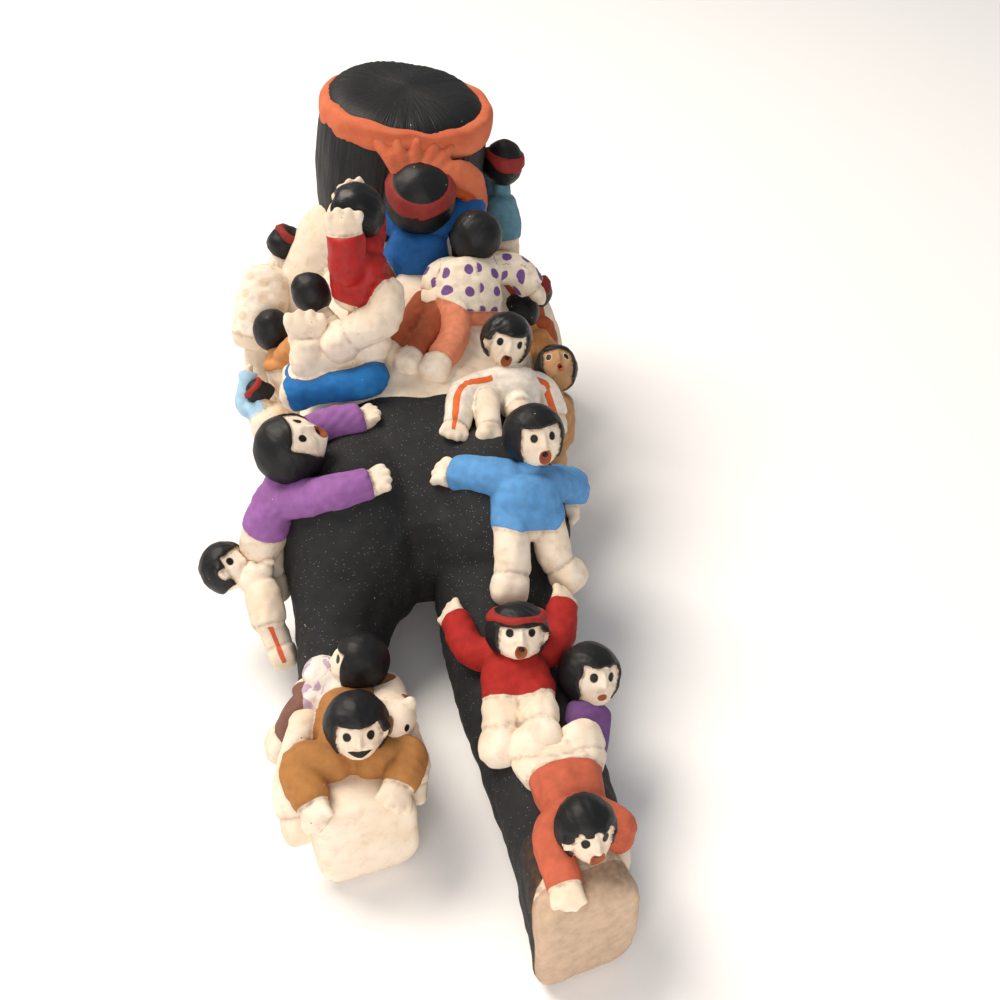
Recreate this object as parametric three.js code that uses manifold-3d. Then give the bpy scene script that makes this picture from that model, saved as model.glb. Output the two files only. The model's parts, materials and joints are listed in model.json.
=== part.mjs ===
// A storyteller figure of hand-modelled clay. The storyteller lies on the belly with the head raised, and
// children climb all over the legs, the back and the neck. The children are luted on with slip and fired with
// the figure, so the whole work is one solid. Millimetres, +Z up, the head towards +Y, the feet towards -Y.
import * as THREE from 'three';
import { mergeVertices } from 'three/addons/utils/BufferGeometryUtils.js';
import Module from 'manifold-3d';

const wasm = await Module();
wasm.setup();

// Driving dimensions
const figureLength = 250; // from the soles of the nearer foot to the tip of the nose
const childHeadWidth = 13.6;
const childTrunkWidth = 15;
const trunkFlatness = 0.76; // a trunk's thickness as a share of its width
const childArmThickness = 6.8;
const childLegThickness = 8.8;
const footWidth = 23;

// The pose is laid out in steps of a 250th of the figure's length, from the middle of the belly.
const step = figureLength / 250;

const clay = new THREE.MeshStandardMaterial({ color: 0xe6d7c3, roughness: 0.85, metalness: 0 });

const point = (place) => new THREE.Vector3(...place).multiplyScalar(step);

// A closed three.js geometry as a solid that can be joined.
function solid(geometry) {
  const bare = geometry.clone();
  bare.deleteAttribute('normal');
  bare.deleteAttribute('uv');
  const merged = mergeVertices(bare, 1e-4);
  const corners = [...merged.index.array];
  const kept = [];
  for (let i = 0; i < corners.length; i += 3) {
    const [a, b, c] = corners.slice(i, i + 3);
    if (a !== b && b !== c && c !== a) kept.push(a, b, c);
  }
  return new wasm.Manifold(new wasm.Mesh({
    numProp: 3,
    vertProperties: new Float32Array(merged.attributes.position.array),
    triVerts: new Uint32Array(kept),
  }));
}

const joined = (solids) => solids.reduce((whole, next) => whole.add(next));

// Moves every point of a geometry by a rule, which gets the point and changes it.
function reshape(geometry, rule) {
  const places = geometry.attributes.position;
  const p = new THREE.Vector3();
  for (let i = 0; i < places.count; i += 1) {
    rule(p.fromBufferAttribute(places, i));
    places.setXYZ(i, p.x, p.y, p.z);
  }
  return geometry;
}

// Axes of a thing that looks along `ahead` with its top towards `up`: x to its right, y ahead, z up.
function facing(ahead, up) {
  const y = ahead.clone().normalize();
  const x = y.clone().cross(up).normalize();
  return new THREE.Matrix4().makeBasis(x, y, x.clone().cross(y));
}

// An egg-shaped ball with three half-widths about a centre.
function ball(centre, half, across, down) {
  const shape = new THREE.SphereGeometry(1, across, down).rotateX(Math.PI / 2);
  return shape.scale(half.x, half.y, half.z).translate(centre.x, centre.y, centre.z);
}

// A rolled limb through several places, each with its own radius, and rounded off at both ends. It is a lathe
// of unit rings, whose rings are moved on to the path and set square to it. The width lies along `side` as
// nearly as the path allows, and the thickness is `flat` of the width.
function limb(path, radii, sides, { flat = 1, side = new THREE.Vector3(0.31, 0.22, 0.93) } = {}) {
  const last = path.length - 1;
  const tip = 0.8; // how far the middle of a round end stands out, as a share of the radius
  const start = path[0].clone().lerp(path[1], -tip * radii[0] / path[0].distanceTo(path[1]));
  const endLength = path[last].distanceTo(path[last - 1]);
  const end = path[last].clone().lerp(path[last - 1], -tip * radii[last] / endLength);
  const profile = [new THREE.Vector2(0, 0)];
  path.forEach((place, i) => profile.push(new THREE.Vector2(1, i + 1)));
  profile.push(new THREE.Vector2(0, path.length + 1));
  return reshape(new THREE.LatheGeometry(profile, sides), (p) => {
    const row = Math.round(p.y);
    if (row === 0) {
      p.copy(start);
      return;
    }
    if (row === path.length + 1) {
      p.copy(end);
      return;
    }
    const i = row - 1;
    const along = path[Math.min(i + 1, last)].clone().sub(path[Math.max(i - 1, 0)]).normalize();
    const thick = along.clone().cross(side).normalize();
    const wide = along.clone().cross(thick);
    const [u, v] = [p.x * radii[i], p.z * radii[i] * flat];
    p.copy(path[i]).addScaledVector(wide, u).addScaledVector(thick, v);
  });
}

// A body laid along Y, given by stations: its middle, half-width and half-height at each. Every section is a
// squared oval, and both ends swell out a little.
function laidBody(stations, sides, squareness = 0.82) {
  const profile = [new THREE.Vector2(0, 0)];
  stations.forEach((station, i) => profile.push(new THREE.Vector2(1, i + 1)));
  profile.push(new THREE.Vector2(0, stations.length + 1));
  const bend = (value) => Math.sign(value) * Math.abs(value) ** squareness;
  const endSwell = 0.28; // as a share of the half-height
  return reshape(new THREE.LatheGeometry(profile, sides), (p) => {
    const row = Math.round(p.y);
    const inside = Math.min(Math.max(row - 1, 0), stations.length - 1);
    const { x, y, z, wide, high } = stations[inside];
    const ahead = Math.sign(row - inside - 1) * endSwell * high;
    p.set(x + bend(p.x) * wide, y + ahead, z + bend(p.z) * high).multiplyScalar(step);
  });
}

// A foot is a block with round edges, its sole upright and turned a little outwards. Towards the heel the side
// that faces `inner` is drawn in, by `drawn` at the heel's end.
function foot({ sole, height, length, turn, inner, drawn }) {
  const round = 4;
  const bevel = 1.2;
  const w = footWidth / step / 2 - round;
  const h = height / 2 - round;
  const outline = new THREE.Shape();
  outline.absarc(w, h, round, 0, Math.PI / 2);
  outline.absarc(-w, h, round, Math.PI / 2, Math.PI);
  outline.absarc(-w, -h, round, Math.PI, 1.5 * Math.PI);
  outline.absarc(w, -h, round, 1.5 * Math.PI, 2 * Math.PI);
  const block = new THREE.ExtrudeGeometry(outline, {
    depth: length - 2 * bevel,
    curveSegments: 2,
    bevelThickness: bevel,
    bevelSize: bevel,
    bevelOffset: -bevel,
    bevelSegments: 1,
  });
  block.translate(0, height / 2, bevel).rotateX(Math.PI / 2).translate(0, length, 0);
  reshape(block, (p) => {
    const narrowing = drawn / 2 * p.y / length;
    p.x = p.x * (1 - narrowing / (w + round)) - inner * narrowing;
  });
  return block.rotateZ(turn).scale(step, step, step).translate(...point(sole).toArray());
}

const bodyLimb = (places, radii, sides) => limb(places.map(point), radii.map((r) => r * step), sides);

// The storyteller: trunk, buttocks, legs, feet, arms and neck. The back rises from the hips to the shoulders.
function storytellerBody() {
  const trunk = laidBody([
    { x: -1, y: -32, z: 27, wide: 21, high: 13 },
    { x: -1, y: -14, z: 23, wide: 33, high: 26 },
    { x: -1, y: 6, z: 24, wide: 34, high: 27.5 },
    { x: 0, y: 26, z: 26, wide: 34, high: 29 },
    { x: 0, y: 48, z: 30, wide: 34, high: 30 },
    { x: 0, y: 68, z: 35, wide: 32, high: 28 },
    { x: 0, y: 84, z: 40, wide: 28, high: 22 },
    { x: 0, y: 96, z: 42, wide: 18, high: 14 },
  ], 12);
  const buttockHalf = point([20.5, 28, 26.5]);
  const buttocks = [[-18, -15, 25], [16.5, -17, 25]].map((at) => ball(point(at), buttockHalf, 10, 6));
  const legs = [
    bodyLimb([[-20, -26, 23], [-24, -48, 14], [-23, -70, 12.5], [-19, -92, 12]], [18, 11, 11.2, 11], 8),
    bodyLimb([[17, -26, 23], [16, -52, 15], [19.5, -80, 14.5], [24, -112, 14]], [18, 15, 14, 12.3], 8),
  ];
  const feet = [
    foot({ sole: [-18, -102.4, 0], height: 24.5, length: 20, turn: 0.26, inner: 1, drawn: 1 }),
    foot({ sole: [24.7, -129.7, 0], height: 27.5, length: 20, turn: 0.31, inner: -1, drawn: 4.5 }),
  ];
  // The left shoulder is drawn up under the head.
  const shoulders = { [-1]: [[-20.4, 84.2, 55.6], [-30.3, 80.4, 42]], 1: [[25, 84, 42]] };
  const shoulderRadii = { [-1]: [14.5, 12], 1: [12] };
  const arms = [-1, 1].flatMap((side) => [
    bodyLimb([...shoulders[side], [side * 40, 72, 15]], [...shoulderRadii[side], 9.5], 7),
    bodyLimb([[side * 40, 72, 9.5], [side * 31, 100, 8], [side * 27, 109, 5.5]], [9.5, 7, 6.5], 7),
  ]);
  const neck = bodyLimb([[0, 78, 50], [2, 88, 64]], [18, 16], 8);
  return [trunk, ...buttocks, ...legs, ...feet, ...arms, neck];
}

// The storyteller's head leans back and a little to one side. In its own axes x is to its right, y is ahead
// and z is up. The crown is flat and broad, and the hair is a cap with an edge round the face and neck.
const headAt = [-1, 91, 76.5];
const headHalf = new THREE.Vector3(23.6, 23.6, 28); // to either side, ahead and down from its middle
const crownHeight = 25.2;
const hairThickness = 1.6;
const headTurn = facing(new THREE.Vector3(0, 1, 0.1), new THREE.Vector3(0.13, 0, 1));

const onHead = (shape) => {
  shape.scale(step, step, step).applyMatrix4(headTurn);
  return shape.translate(...point(headAt).toArray());
};

// How far the head stands from its middle in a direction: a ball whose crown is squared.
function headReach(d) {
  const power = d.z > 0 ? 6 : 2.3;
  const upright = d.z > 0 ? crownHeight : headHalf.z;
  const flatReach = Math.hypot(d.x / headHalf.x, d.y / headHalf.y);
  return (flatReach ** power + Math.abs(d.z / upright) ** power) ** (-1 / power);
}

function storytellerHead() {
  const head = reshape(new THREE.SphereGeometry(1, 16, 10).rotateX(Math.PI / 2), (p) => {
    const isFace = p.y > 0.42 && p.z < 0.5 && p.z > -0.95;
    const isUnderHair = p.z < -0.62;
    const hair = isFace || isUnderHair ? 0 : hairThickness;
    p.multiplyScalar(headReach(p) + hair);
  });
  const nose = ball(new THREE.Vector3(0, 24, -3), new THREE.Vector3(2.6, 3, 5.5), 6, 5);
  const lips = new THREE.TorusGeometry(3.2, 1.3, 5, 8).rotateX(Math.PI / 2);
  lips.scale(1.25, 1, 0.9).translate(0, 23, -13);
  const lidHalf = new THREE.Vector3(4.6, 2.6, 2.4);
  const lids = [-9, 9].map((x) => ball(new THREE.Vector3(x, 20.8, 2), lidHalf, 7, 4));
  return [head, nose, lips, ...lids].map(onHead);
}

// The headband is a folded scarf that goes round below the crown. Its ends are gathered behind the head, and
// one tail hangs down to the right.
function headband() {
  const middle = 20.4; // its height over the middle of the head
  const half = 4.6;
  const proud = 1.1; // how far it stands off the hair
  const reach = headReach(new THREE.Vector3(1, 0, middle / headHalf.x));
  const outer = reach + hairThickness + proud;
  const inner = outer - 7;
  const profile = [
    [inner, -half],
    [outer - 1, -half],
    [outer, -half / 2],
    [outer, half / 3],
    [outer - 1.4, half],
    [inner, half],
    [inner, -half],
  ].map(([radius, high]) => new THREE.Vector2(radius, high));
  const band = new THREE.LatheGeometry(profile, 16).rotateX(Math.PI / 2).translate(0, 0, middle);
  const knot = ball(new THREE.Vector3(1, -25, 16), new THREE.Vector3(10, 4, 6), 8, 5);
  const hang = [[5, -26, 14], [14, -24.5, 14.5], [21, -19.5, 8], [22.5, -18, -3]];
  const tail = limb(hang.map((place) => new THREE.Vector3(...place)), [3.5, 4.2, 5, 4.6], 6, { flat: 0.6 });
  return [band, knot, tail].map(onHead);
}

// One child: a trunk that runs on into one leg, the other leg, a round head with a cap of hair, and rolled
// arms. `face` is where the face looks and `front` is where the belly points. An arm is [elbow, hand] and a
// leg is [knee, foot]. The children were rolled by eye, so trunks, sleeves, legs and heads have sizes of their
// own: `stout`, `sleeve`, `thigh` and `headSize`, as shares of the usual one.
function child({ hip, chest, head, face, front, arms = [], legs = [], ...own }) {
  const { size = 1, stout = 1, sleeve = 1, thigh = 1, headSize = 1 } = own;
  const hips = point(hip);
  const shoulders = point(chest);
  const side = new THREE.Vector3(...front).cross(shoulders.clone().sub(hips)).normalize();
  const trunkRadius = childTrunkWidth / 2 * size * stout;
  const legRadius = childLegThickness / 2 * size * thigh;
  const armRadius = childArmThickness / 2 * size * sleeve;
  const headRadius = childHeadWidth / 2 * headSize;

  const [nearLeg = [], ...otherLegs] = legs.map((places) => places.map(point));
  const trunk = limb(
    [shoulders, hips, ...nearLeg],
    [trunkRadius * 1.05, trunkRadius, legRadius * 1.1, legRadius],
    5,
    { flat: trunkFlatness, side },
  );
  const legShapes = otherLegs.map(([knee, toes]) => {
    const groin = hips.clone().addScaledVector(knee.clone().sub(hips).normalize(), trunkRadius * 0.4);
    return limb([groin, knee, toes], [legRadius * 1.1, legRadius * 1.05, legRadius], 5);
  });
  const armShapes = arms.map((places) => {
    const [elbow, hand] = places.map(point);
    const outwards = elbow.clone().sub(shoulders).normalize();
    const shoulder = shoulders.clone().addScaledVector(outwards, trunkRadius * 0.6);
    return limb([shoulder, elbow, hand], [armRadius * 1.15, armRadius * 1.1, armRadius * 1.05], 4);
  });

  const hairBulge = 1.06;
  const skull = reshape(new THREE.SphereGeometry(1, 7, 4).rotateX(Math.PI / 2), (p) => {
    const isHair = p.y < 0.3 || p.z > 0.6;
    p.multiplyScalar(headRadius * (isHair ? hairBulge : 1.02)).multiply(new THREE.Vector3(1, 0.95, 1.06));
  });
  const up = point(head).sub(shoulders);
  skull.applyMatrix4(facing(new THREE.Vector3(...face), up)).translate(...point(head).toArray());
  return [trunk, skull, ...legShapes, ...armShapes];
}

// The children, from the storyteller's feet to the head.
const children = {
  overLeftFoot: {
    hip: [-20.5, -79, 26], chest: [-20.5, -90, 26], head: [-19, -88.5, 35.5],
    face: [0.1, -0.96, 0.15], front: [0, -0.3, -1],
    arms: [[[-31.5, -91.5, 27], [-28.5, -101.5, 24.5]], [[-9, -91.5, 27], [-11.5, -100, 26]]],
    legs: [[[-34.5, -92, 20], [-33, -98, 14]], [[-8, -89.5, 22], [-8.5, -91.5, 16]]],
    sleeve: 1.15, thigh: 0.85, headSize: 1.02,
  },
  onLeftLeg: {
    hip: [-25, -73.5, 23], chest: [-22.5, -71, 27], head: [-18, -69.5, 33.5],
    face: [-0.93, 0.15, 0.1], front: [-0.7, -0.3, 0.5],
    arms: [[[-27, -67.5, 29], [-30, -70, 26]]],
    legs: [[[-31.5, -73, 22], [-37, -74.5, 13]]],
    stout: 0.85, headSize: 0.95,
  },
  overRightFoot: {
    hip: [23, -98.5, 27], chest: [24, -108, 29], head: [24.5, -118, 35.5],
    face: [0.1, -0.95, 0], front: [0, -0.2, -1],
    arms: [[[18.5, -116, 29.5], [19.5, -127.5, 28]], [[32, -114, 27.5], [29.5, -116, 23.5]]],
    legs: [[[17, -96, 27], [17.5, -93, 28]], [[28.5, -96, 28], [28, -93, 29]]],
    stout: 0.95, headSize: 0.9,
  },
  besideRightLeg: {
    hip: [29.5, -88, 22], chest: [31.5, -82, 25], head: [32.5, -75.5, 30],
    face: [0.3, -0.9, 0.35], front: [0.5, 0, 1],
    stout: 0.72, headSize: 1.05,
  },
  onRightLeg: {
    hip: [16, -76, 29], chest: [16.5, -71.5, 31], head: [17, -68.5, 38.5],
    face: [0.04, -0.93, 0.37], front: [0, -0.3, 1],
    arms: [[[7, -64.5, 29], [3.5, -52.5, 28]], [[26.5, -65.5, 30], [30, -53, 31]]],
    legs: [[[12, -84.5, 28], [11, -90.5, 26]], [[20, -86, 30], [19.5, -91.5, 29]]],
  },
  onRightHip: {
    hip: [23, -33.5, 44], chest: [23.5, -30.5, 49], head: [26, -23.5, 58.5],
    face: [0.33, -0.93, 0.18], front: [0.25, -0.8, 0.5],
    arms: [[[15, -27.5, 50], [5.5, -22, 47.5]], [[37, -18, 37.5], [36.5, -21, 32.5]]],
    legs: [[[18.5, -45.5, 38], [17.5, -50.5, 34]], [[29.5, -41.5, 35], [32.5, -44.5, 31]]],
    stout: 1.08, sleeve: 1.25, headSize: 1.12,
  },
  roundLeftHip: {
    hip: [-41.5, -22, 32], chest: [-38, -22, 42], head: [-33, -17, 54],
    face: [0.61, -0.13, 0.6], front: [0.8, -0.2, 0.3],
    arms: [[[-24.5, -28, 48], [-12.7, -25.5, 49]], [[-28, -6.5, 51], [-14.5, -1.5, 51]]],
    legs: [[[-42, -24.5, 24], [-41, -27.5, 18]]],
    sleeve: 1.2, headSize: 1.3,
  },
  hangingLeft: {
    hip: [-42, -38.5, 20], chest: [-43, -34, 24], head: [-52, -27.5, 26],
    face: [0.52, -0.36, 0.7], front: [0.6, 0, -0.6],
    arms: [[[-45, -30.5, 25], [-42, -29, 27]]],
    legs: [[[-40.5, -41.5, 16], [-38.5, -46, 12]]],
    stout: 0.66, thigh: 0.8, headSize: 0.97,
  },
  overRightWaist: {
    hip: [23.5, 10, 48], chest: [23.5, 12, 51.5], head: [24, 17.5, 60.5],
    face: [-0.04, -0.99, 0.12], front: [0, -1, -0.3],
    arms: [[[11.5, 5, 52], [8, -9, 51]], [[34, 14, 45.5], [37, 6.5, 40]]],
    legs: [[[17, 0, 52], [16.5, -11.5, 50]], [[25.5, 3, 49], [25, -4.5, 48]]],
    stout: 1.15, thigh: 0.75, headSize: 1.03,
  },
  kneeling: {
    hip: [-19.5, 19, 53], chest: [-19, 19, 60], head: [-27, 28.5, 71],
    face: [-0.3, 0.95, 0], front: [0, 1, 0.2],
    arms: [[[-28.5, 14.5, 58], [-28.5, 17.5, 66.5]], [[-11.5, 17, 61], [-12, 22.5, 66]]],
    legs: [[[-13, 9.5, 55], [-32.5, 11, 51.5]], [[-21, 15, 55], [-32, 16, 52]]],
    stout: 1.05, sleeve: 1.25, headSize: 0.8,
  },
  riding: {
    hip: [-14, 25, 75], chest: [-13, 26, 81], head: [-13.5, 33.5, 91],
    face: [-0.9, 0.35, 0], front: [-0.5, -0.8, 0],
    arms: [[[-16.5, 22, 82], [-16.5, 23.5, 92]], [[-11, 42, 85.5], [-14, 39, 92.5]]],
    legs: [[[-8.5, 15.5, 70.5], [-20, 15.5, 63.5]]],
    sleeve: 1.35, thigh: 1.15, headSize: 1.1,
  },
  dotted: {
    hip: [16, 41.5, 60], chest: [16, 46, 66], head: [19, 50.5, 74],
    face: [0.75, 0.25, -0.6], front: [0.3, -0.9, 0.2],
    arms: [[[8.5, 47, 64], [5, 44, 59]], [[30, 50, 63], [36, 47, 57]]],
    legs: [[[11, 27, 57.5], [4.5, 14.5, 54]]],
    stout: 1.2, sleeve: 1.2, thigh: 0.95, headSize: 1.06,
  },
  underDotted: {
    hip: [9.5, 40.5, 59], chest: [12.5, 50, 62], head: [17, 60, 66],
    face: [-0.3, 0.9, 0.3], front: [0, 0, -1],
    legs: [[[0, 36.5, 57], [-8, 21.5, 55]], [[5.5, 32, 57], [-2.5, 17.5, 55]]],
    stout: 0.8, thigh: 0.82,
  },
  underArm: {
    hip: [39, 42, 33], chest: [35, 46, 41], head: [32, 51.5, 48],
    face: [-0.3, 0.9, 0.2], front: [-1, 0, -0.3],
    arms: [[[33, 38, 42], [30, 32, 44]]],
    legs: [[[39, 36, 25], [38, 33, 18]]],
    headSize: 0.84,
  },
  rightFlank: {
    hip: [37, 20, 27], chest: [37.5, 22, 35], head: [39, 25.5, 44.5],
    face: [0, -0.72, 0.65], front: [0.6, -0.6, 0.3],
    arms: [[[38.5, 14.5, 38], [37.5, 8.5, 37]]],
    legs: [[[37, 14, 21], [37, 13, 12]]],
    headSize: 0.95,
  },
  rightShoulder: {
    hip: [38.5, 58, 30], chest: [38.5, 61.5, 37], head: [37.5, 67, 46],
    face: [0.5, 0.8, 0.2], front: [-1, 0, -0.2],
    arms: [[[30, 64, 50], [22, 66, 58]]],
    legs: [[[38, 50, 23], [38, 47, 15]]],
    headSize: 0.88,
  },
  besideHead: {
    hip: [30.5, 87, 58], chest: [30, 89.5, 65], head: [31, 92, 77],
    face: [-0.4, 0.9, 0.1], front: [-0.9, 0.3, 0],
    arms: [[[28, 95.5, 70], [24, 101.5, 74]]],
    legs: [[[32, 86.5, 50], [32, 86.5, 43]]],
    size: 0.88, headSize: 0.95,
  },
  behindNeck: {
    hip: [2, 60, 61], chest: [3, 60, 69], head: [4, 62, 81],
    face: [0.1, 0.9, 0.45], front: [0, 1, 0],
    arms: [[[-9.5, 72.5, 76], [-5.5, 78.5, 83]], [[19, 69.5, 74], [16, 72.5, 79]]],
    legs: [[[-8, 54, 60], [-11, 46, 58]], [[8, 54, 60], [10, 46, 58]]],
    size: 1.2, thigh: 0.8, headSize: 1.5,
  },
  leftShoulder: {
    hip: [-46.5, 73, 38], chest: [-43, 79, 48], head: [-37.5, 85, 57],
    face: [-0.3, 0.95, 0.1], front: [1, 0, 0.2],
    arms: [[[-48, 81, 40], [-47.5, 74, 33]]],
    legs: [[[-47.5, 68, 23], [-47, 58, 13]]],
    size: 0.9, stout: 1.6, thigh: 1.6, headSize: 0.8,
  },
  leftFlankUpper: {
    hip: [-38, 52, 24], chest: [-41, 55, 33], head: [-42.5, 60.5, 41],
    face: [-0.3, 0.9, 0.2], front: [1, 0, 0.2],
    arms: [[[-33, 50, 44], [-28, 46, 51]]],
    legs: [[[-39, 45, 18], [-37, 42, 11]]],
    size: 0.9, headSize: 0.9,
  },
  leftFlankLower: {
    hip: [-43, 37, 19], chest: [-45, 38.5, 25], head: [-47, 44, 30],
    face: [0.4, 0.9, 0.2], front: [1, 0, 0.2],
    arms: [[[-51.5, 43.5, 26], [-50, 50.5, 33.5]]],
    legs: [[[-39.5, 27.5, 16], [-36.5, 22, 10]]],
    sleeve: 0.75, headSize: 0.58,
  },
};

// A pup looks out beside the child on the left foot.
function pup() {
  const head = ball(point([-11, -84, 30]), point([5, 5, 4.5]), 7, 5);
  const muzzle = ball(point([-10.5, -88.5, 29]), point([3, 3, 2.6]), 6, 4);
  const back = bodyLimb([[-12, -80, 26], [-14, -72, 24]], [5.5, 5.5], 6);
  return [head, muzzle, back];
}

const shapes = [
  ...storytellerBody(),
  ...storytellerHead(),
  ...headband(),
  ...Object.values(children).flatMap(child),
  ...pup(),
];

// Everything rests on one plane, so what would lie under it is cut away and leaves flats to stand on.
const groundSize = figureLength * 2;
const ground = new THREE.BoxGeometry(groundSize, groundSize, groundSize).translate(0, 0, -groundSize / 2);
const cut = joined(shapes.map(solid)).subtract(solid(ground));

// Where three limbs meet they can close off a tiny bubble in the clay. The body is the largest closed skin.
const [body] = cut.decompose().sort((a, b) => b.volume() - a.volume());
const work = body.getMesh();

const geometry = new THREE.BufferGeometry();
geometry.setAttribute('position', new THREE.BufferAttribute(work.vertProperties, 3));
geometry.setIndex(new THREE.BufferAttribute(work.triVerts, 1));
geometry.computeVertexNormals();
const storyteller = new THREE.Mesh(geometry, clay);
storyteller.name = 'storyteller';

const figure = new THREE.Group();
figure.add(storyteller);
export default figure;
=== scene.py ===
# %% [markdown]
# # A storyteller figure of painted clay
#
# The storyteller lies on the belly with the head raised, and a crowd of children climbs over the legs,
# the back and the neck. Every body is rolled and pinched from clay, luted on with slip, and fired with
# the figure. Then hair, clothes, eyes and mouths are painted on in matte colours, and the rest keeps
# its cream slip.
#
# The clay forms are worked out as arrays of points: a limb is a circle carried along a path, a head is
# a ball whose radius changes with direction. The limbs of one body are melted together with a voxel
# remesh, which leaves the soft joints that a wet finger leaves. Paint is carried by numbers on the
# vertices that say how far a point lies inside a painted area, in millimetres, so its edge stays sharp
# and can waver like a brushed one.

# %% The tools and the frame
import json
import bpy
import numpy as np
from mathutils import Matrix

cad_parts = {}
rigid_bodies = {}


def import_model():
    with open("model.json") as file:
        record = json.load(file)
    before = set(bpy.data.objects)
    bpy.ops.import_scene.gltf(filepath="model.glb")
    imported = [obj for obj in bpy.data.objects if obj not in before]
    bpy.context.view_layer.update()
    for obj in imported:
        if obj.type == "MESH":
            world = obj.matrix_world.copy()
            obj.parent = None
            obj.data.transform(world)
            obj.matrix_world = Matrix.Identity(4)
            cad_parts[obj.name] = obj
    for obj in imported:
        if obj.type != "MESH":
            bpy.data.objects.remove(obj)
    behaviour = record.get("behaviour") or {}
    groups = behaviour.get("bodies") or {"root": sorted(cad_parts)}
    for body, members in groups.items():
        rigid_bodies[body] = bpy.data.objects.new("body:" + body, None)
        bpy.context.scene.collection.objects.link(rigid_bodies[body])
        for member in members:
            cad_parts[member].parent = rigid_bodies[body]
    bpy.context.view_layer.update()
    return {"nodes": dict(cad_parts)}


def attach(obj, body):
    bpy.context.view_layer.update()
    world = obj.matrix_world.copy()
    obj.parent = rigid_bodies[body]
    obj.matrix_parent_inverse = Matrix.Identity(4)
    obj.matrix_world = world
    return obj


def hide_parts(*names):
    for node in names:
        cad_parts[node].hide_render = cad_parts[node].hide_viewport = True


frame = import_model()
MM = 0.001  # Blender counts in metres, and this script in millimetres
print("the frame holds", *frame["nodes"])

# %% [markdown]
# ## The camera and the light
#
# The photograph looks down on the figure from behind the feet, at about 40 degrees and from close by,
# so the near foot looms larger than the head. The light is soft and comes from the upper left, and a
# white table sends some of it back up. One large area light, a weak one behind the camera and a pale
# world do the same.

# %% Where the camera stands, directions and colours
CAMERA_PLACE = (-5.3, -244.6, 225.3)
CAMERA_PITCH = 40.0  # degrees under the horizon
CAMERA_YAW = 6.0  # degrees towards +X
CAMERA_LENS = 41.4  # millimetres
SENSOR = 36  # millimetres across
LIGHTS_AIM = (0, -20, 30)  # between the buttocks


def unit(vectors):
    """Vectors divided by their own length."""
    vectors = np.asarray(vectors, float)
    return vectors / np.linalg.norm(vectors, axis=-1, keepdims=True)


def facing(ahead, up):
    """The axes of a thing that looks along `ahead`: its right, its ahead and its up, as three columns."""
    y = unit(ahead)
    x = unit(np.cross(y, up))
    return np.stack([x, y, np.cross(x, y)], axis=1)


def srgb(code):
    """A hex colour as linear red, green, blue and alpha: each part is taken out of its screen curve."""
    parts = np.array([int(code[i:i + 2], 16) for i in (1, 3, 5)]) / 255
    linear = np.where(parts <= 0.04045, parts / 12.92, ((parts + 0.055) / 1.055) ** 2.4)
    return (*linear.tolist(), 1.0)


print("the camera stands", round(float(np.linalg.norm(CAMERA_PLACE))), "mm from the origin")

# %% Camera and lights
def place_camera():
    """The camera stands at the photograph's place and looks along +Y, down and a little to the right."""
    data = bpy.data.cameras.new("camera")
    data.sensor_width = SENSOR
    data.lens = CAMERA_LENS
    data.clip_start = 0.01
    data.clip_end = 10
    camera = bpy.data.objects.new("camera", data)
    camera.location = np.array(CAMERA_PLACE) * MM
    camera.rotation_euler = np.radians([90 - CAMERA_PITCH, 0, -CAMERA_YAW])
    bpy.context.collection.objects.link(camera)
    bpy.context.scene.camera = camera


def area_light(name, place, size, watts, colour):
    """A square soft light at a place, turned to the figure."""
    data = bpy.data.lights.new(name, "AREA")
    data.size = size * MM
    data.energy = watts
    data.color = srgb(colour)[:3]
    lamp = bpy.data.objects.new(name, data)
    axes = facing(np.subtract(LIGHTS_AIM, place), (0, 0, 1))
    matrix = np.eye(4)
    matrix[:3, :3] = np.stack([axes[:, 0], axes[:, 2], -axes[:, 1]], axis=1)
    matrix[:3, 3] = np.array(place) * MM
    lamp.matrix_world = Matrix(matrix.tolist())
    bpy.context.collection.objects.link(lamp)


def pale_world(strength):
    """Even white light from all round."""
    world = bpy.data.worlds.new("studio")
    world.use_nodes = True
    background = world.node_tree.nodes["Background"]
    background.inputs["Color"].default_value = srgb("#f4f6fa")
    background.inputs["Strength"].default_value = strength
    bpy.context.scene.world = world


place_camera()
area_light("window", (-460, 340, 930), size=600, watts=12.5, colour="#fff4e6")
area_light("reflector", (-60, -480, 200), size=400, watts=1.35, colour="#fff6ee")
pale_world(strength=0.36)
bpy.context.scene.view_settings.view_transform = "Standard"
print("camera and lights placed")

# %% [markdown]
# ## Clay in numbers
#
# Three helpers make every rough form. `skin` closes a stack of rings into one shell. `limb` carries a
# circle along a smooth path, as a roll of clay is bent. `ball` pushes each direction out to a rounded
# box or an egg. They could be curve bevels and metaballs, but arrays give each vertex a known place,
# which the paint needs.

# %% Rings and paths
def skin(rings, first, last):
    """Rings of points, each closed on itself, and a point before and after them, as one closed shell of
    triangles that faces outwards."""
    count, around = rings.shape[:2]
    points = np.vstack([first, rings.reshape(-1, 3), last])
    index = 1 + np.arange(count * around).reshape(count, around)
    beside = np.roll(index, -1, axis=1)
    lower = np.stack([index[:-1], beside[:-1], beside[1:]], axis=-1).reshape(-1, 3)
    upper = np.stack([index[:-1], beside[1:], index[1:]], axis=-1).reshape(-1, 3)
    start = np.stack([0 * index[0], beside[0], index[0]], axis=-1)
    end = np.stack([0 * index[0] + len(points) - 1, index[-1], beside[-1]], axis=-1)
    faces = np.vstack([lower, upper, start, end])
    a, b, c = points[faces].transpose(1, 0, 2)
    if np.einsum("ij,ij->i", a, np.cross(b, c)).sum() < 0:
        faces = faces[:, ::-1]
    return points, faces


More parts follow.
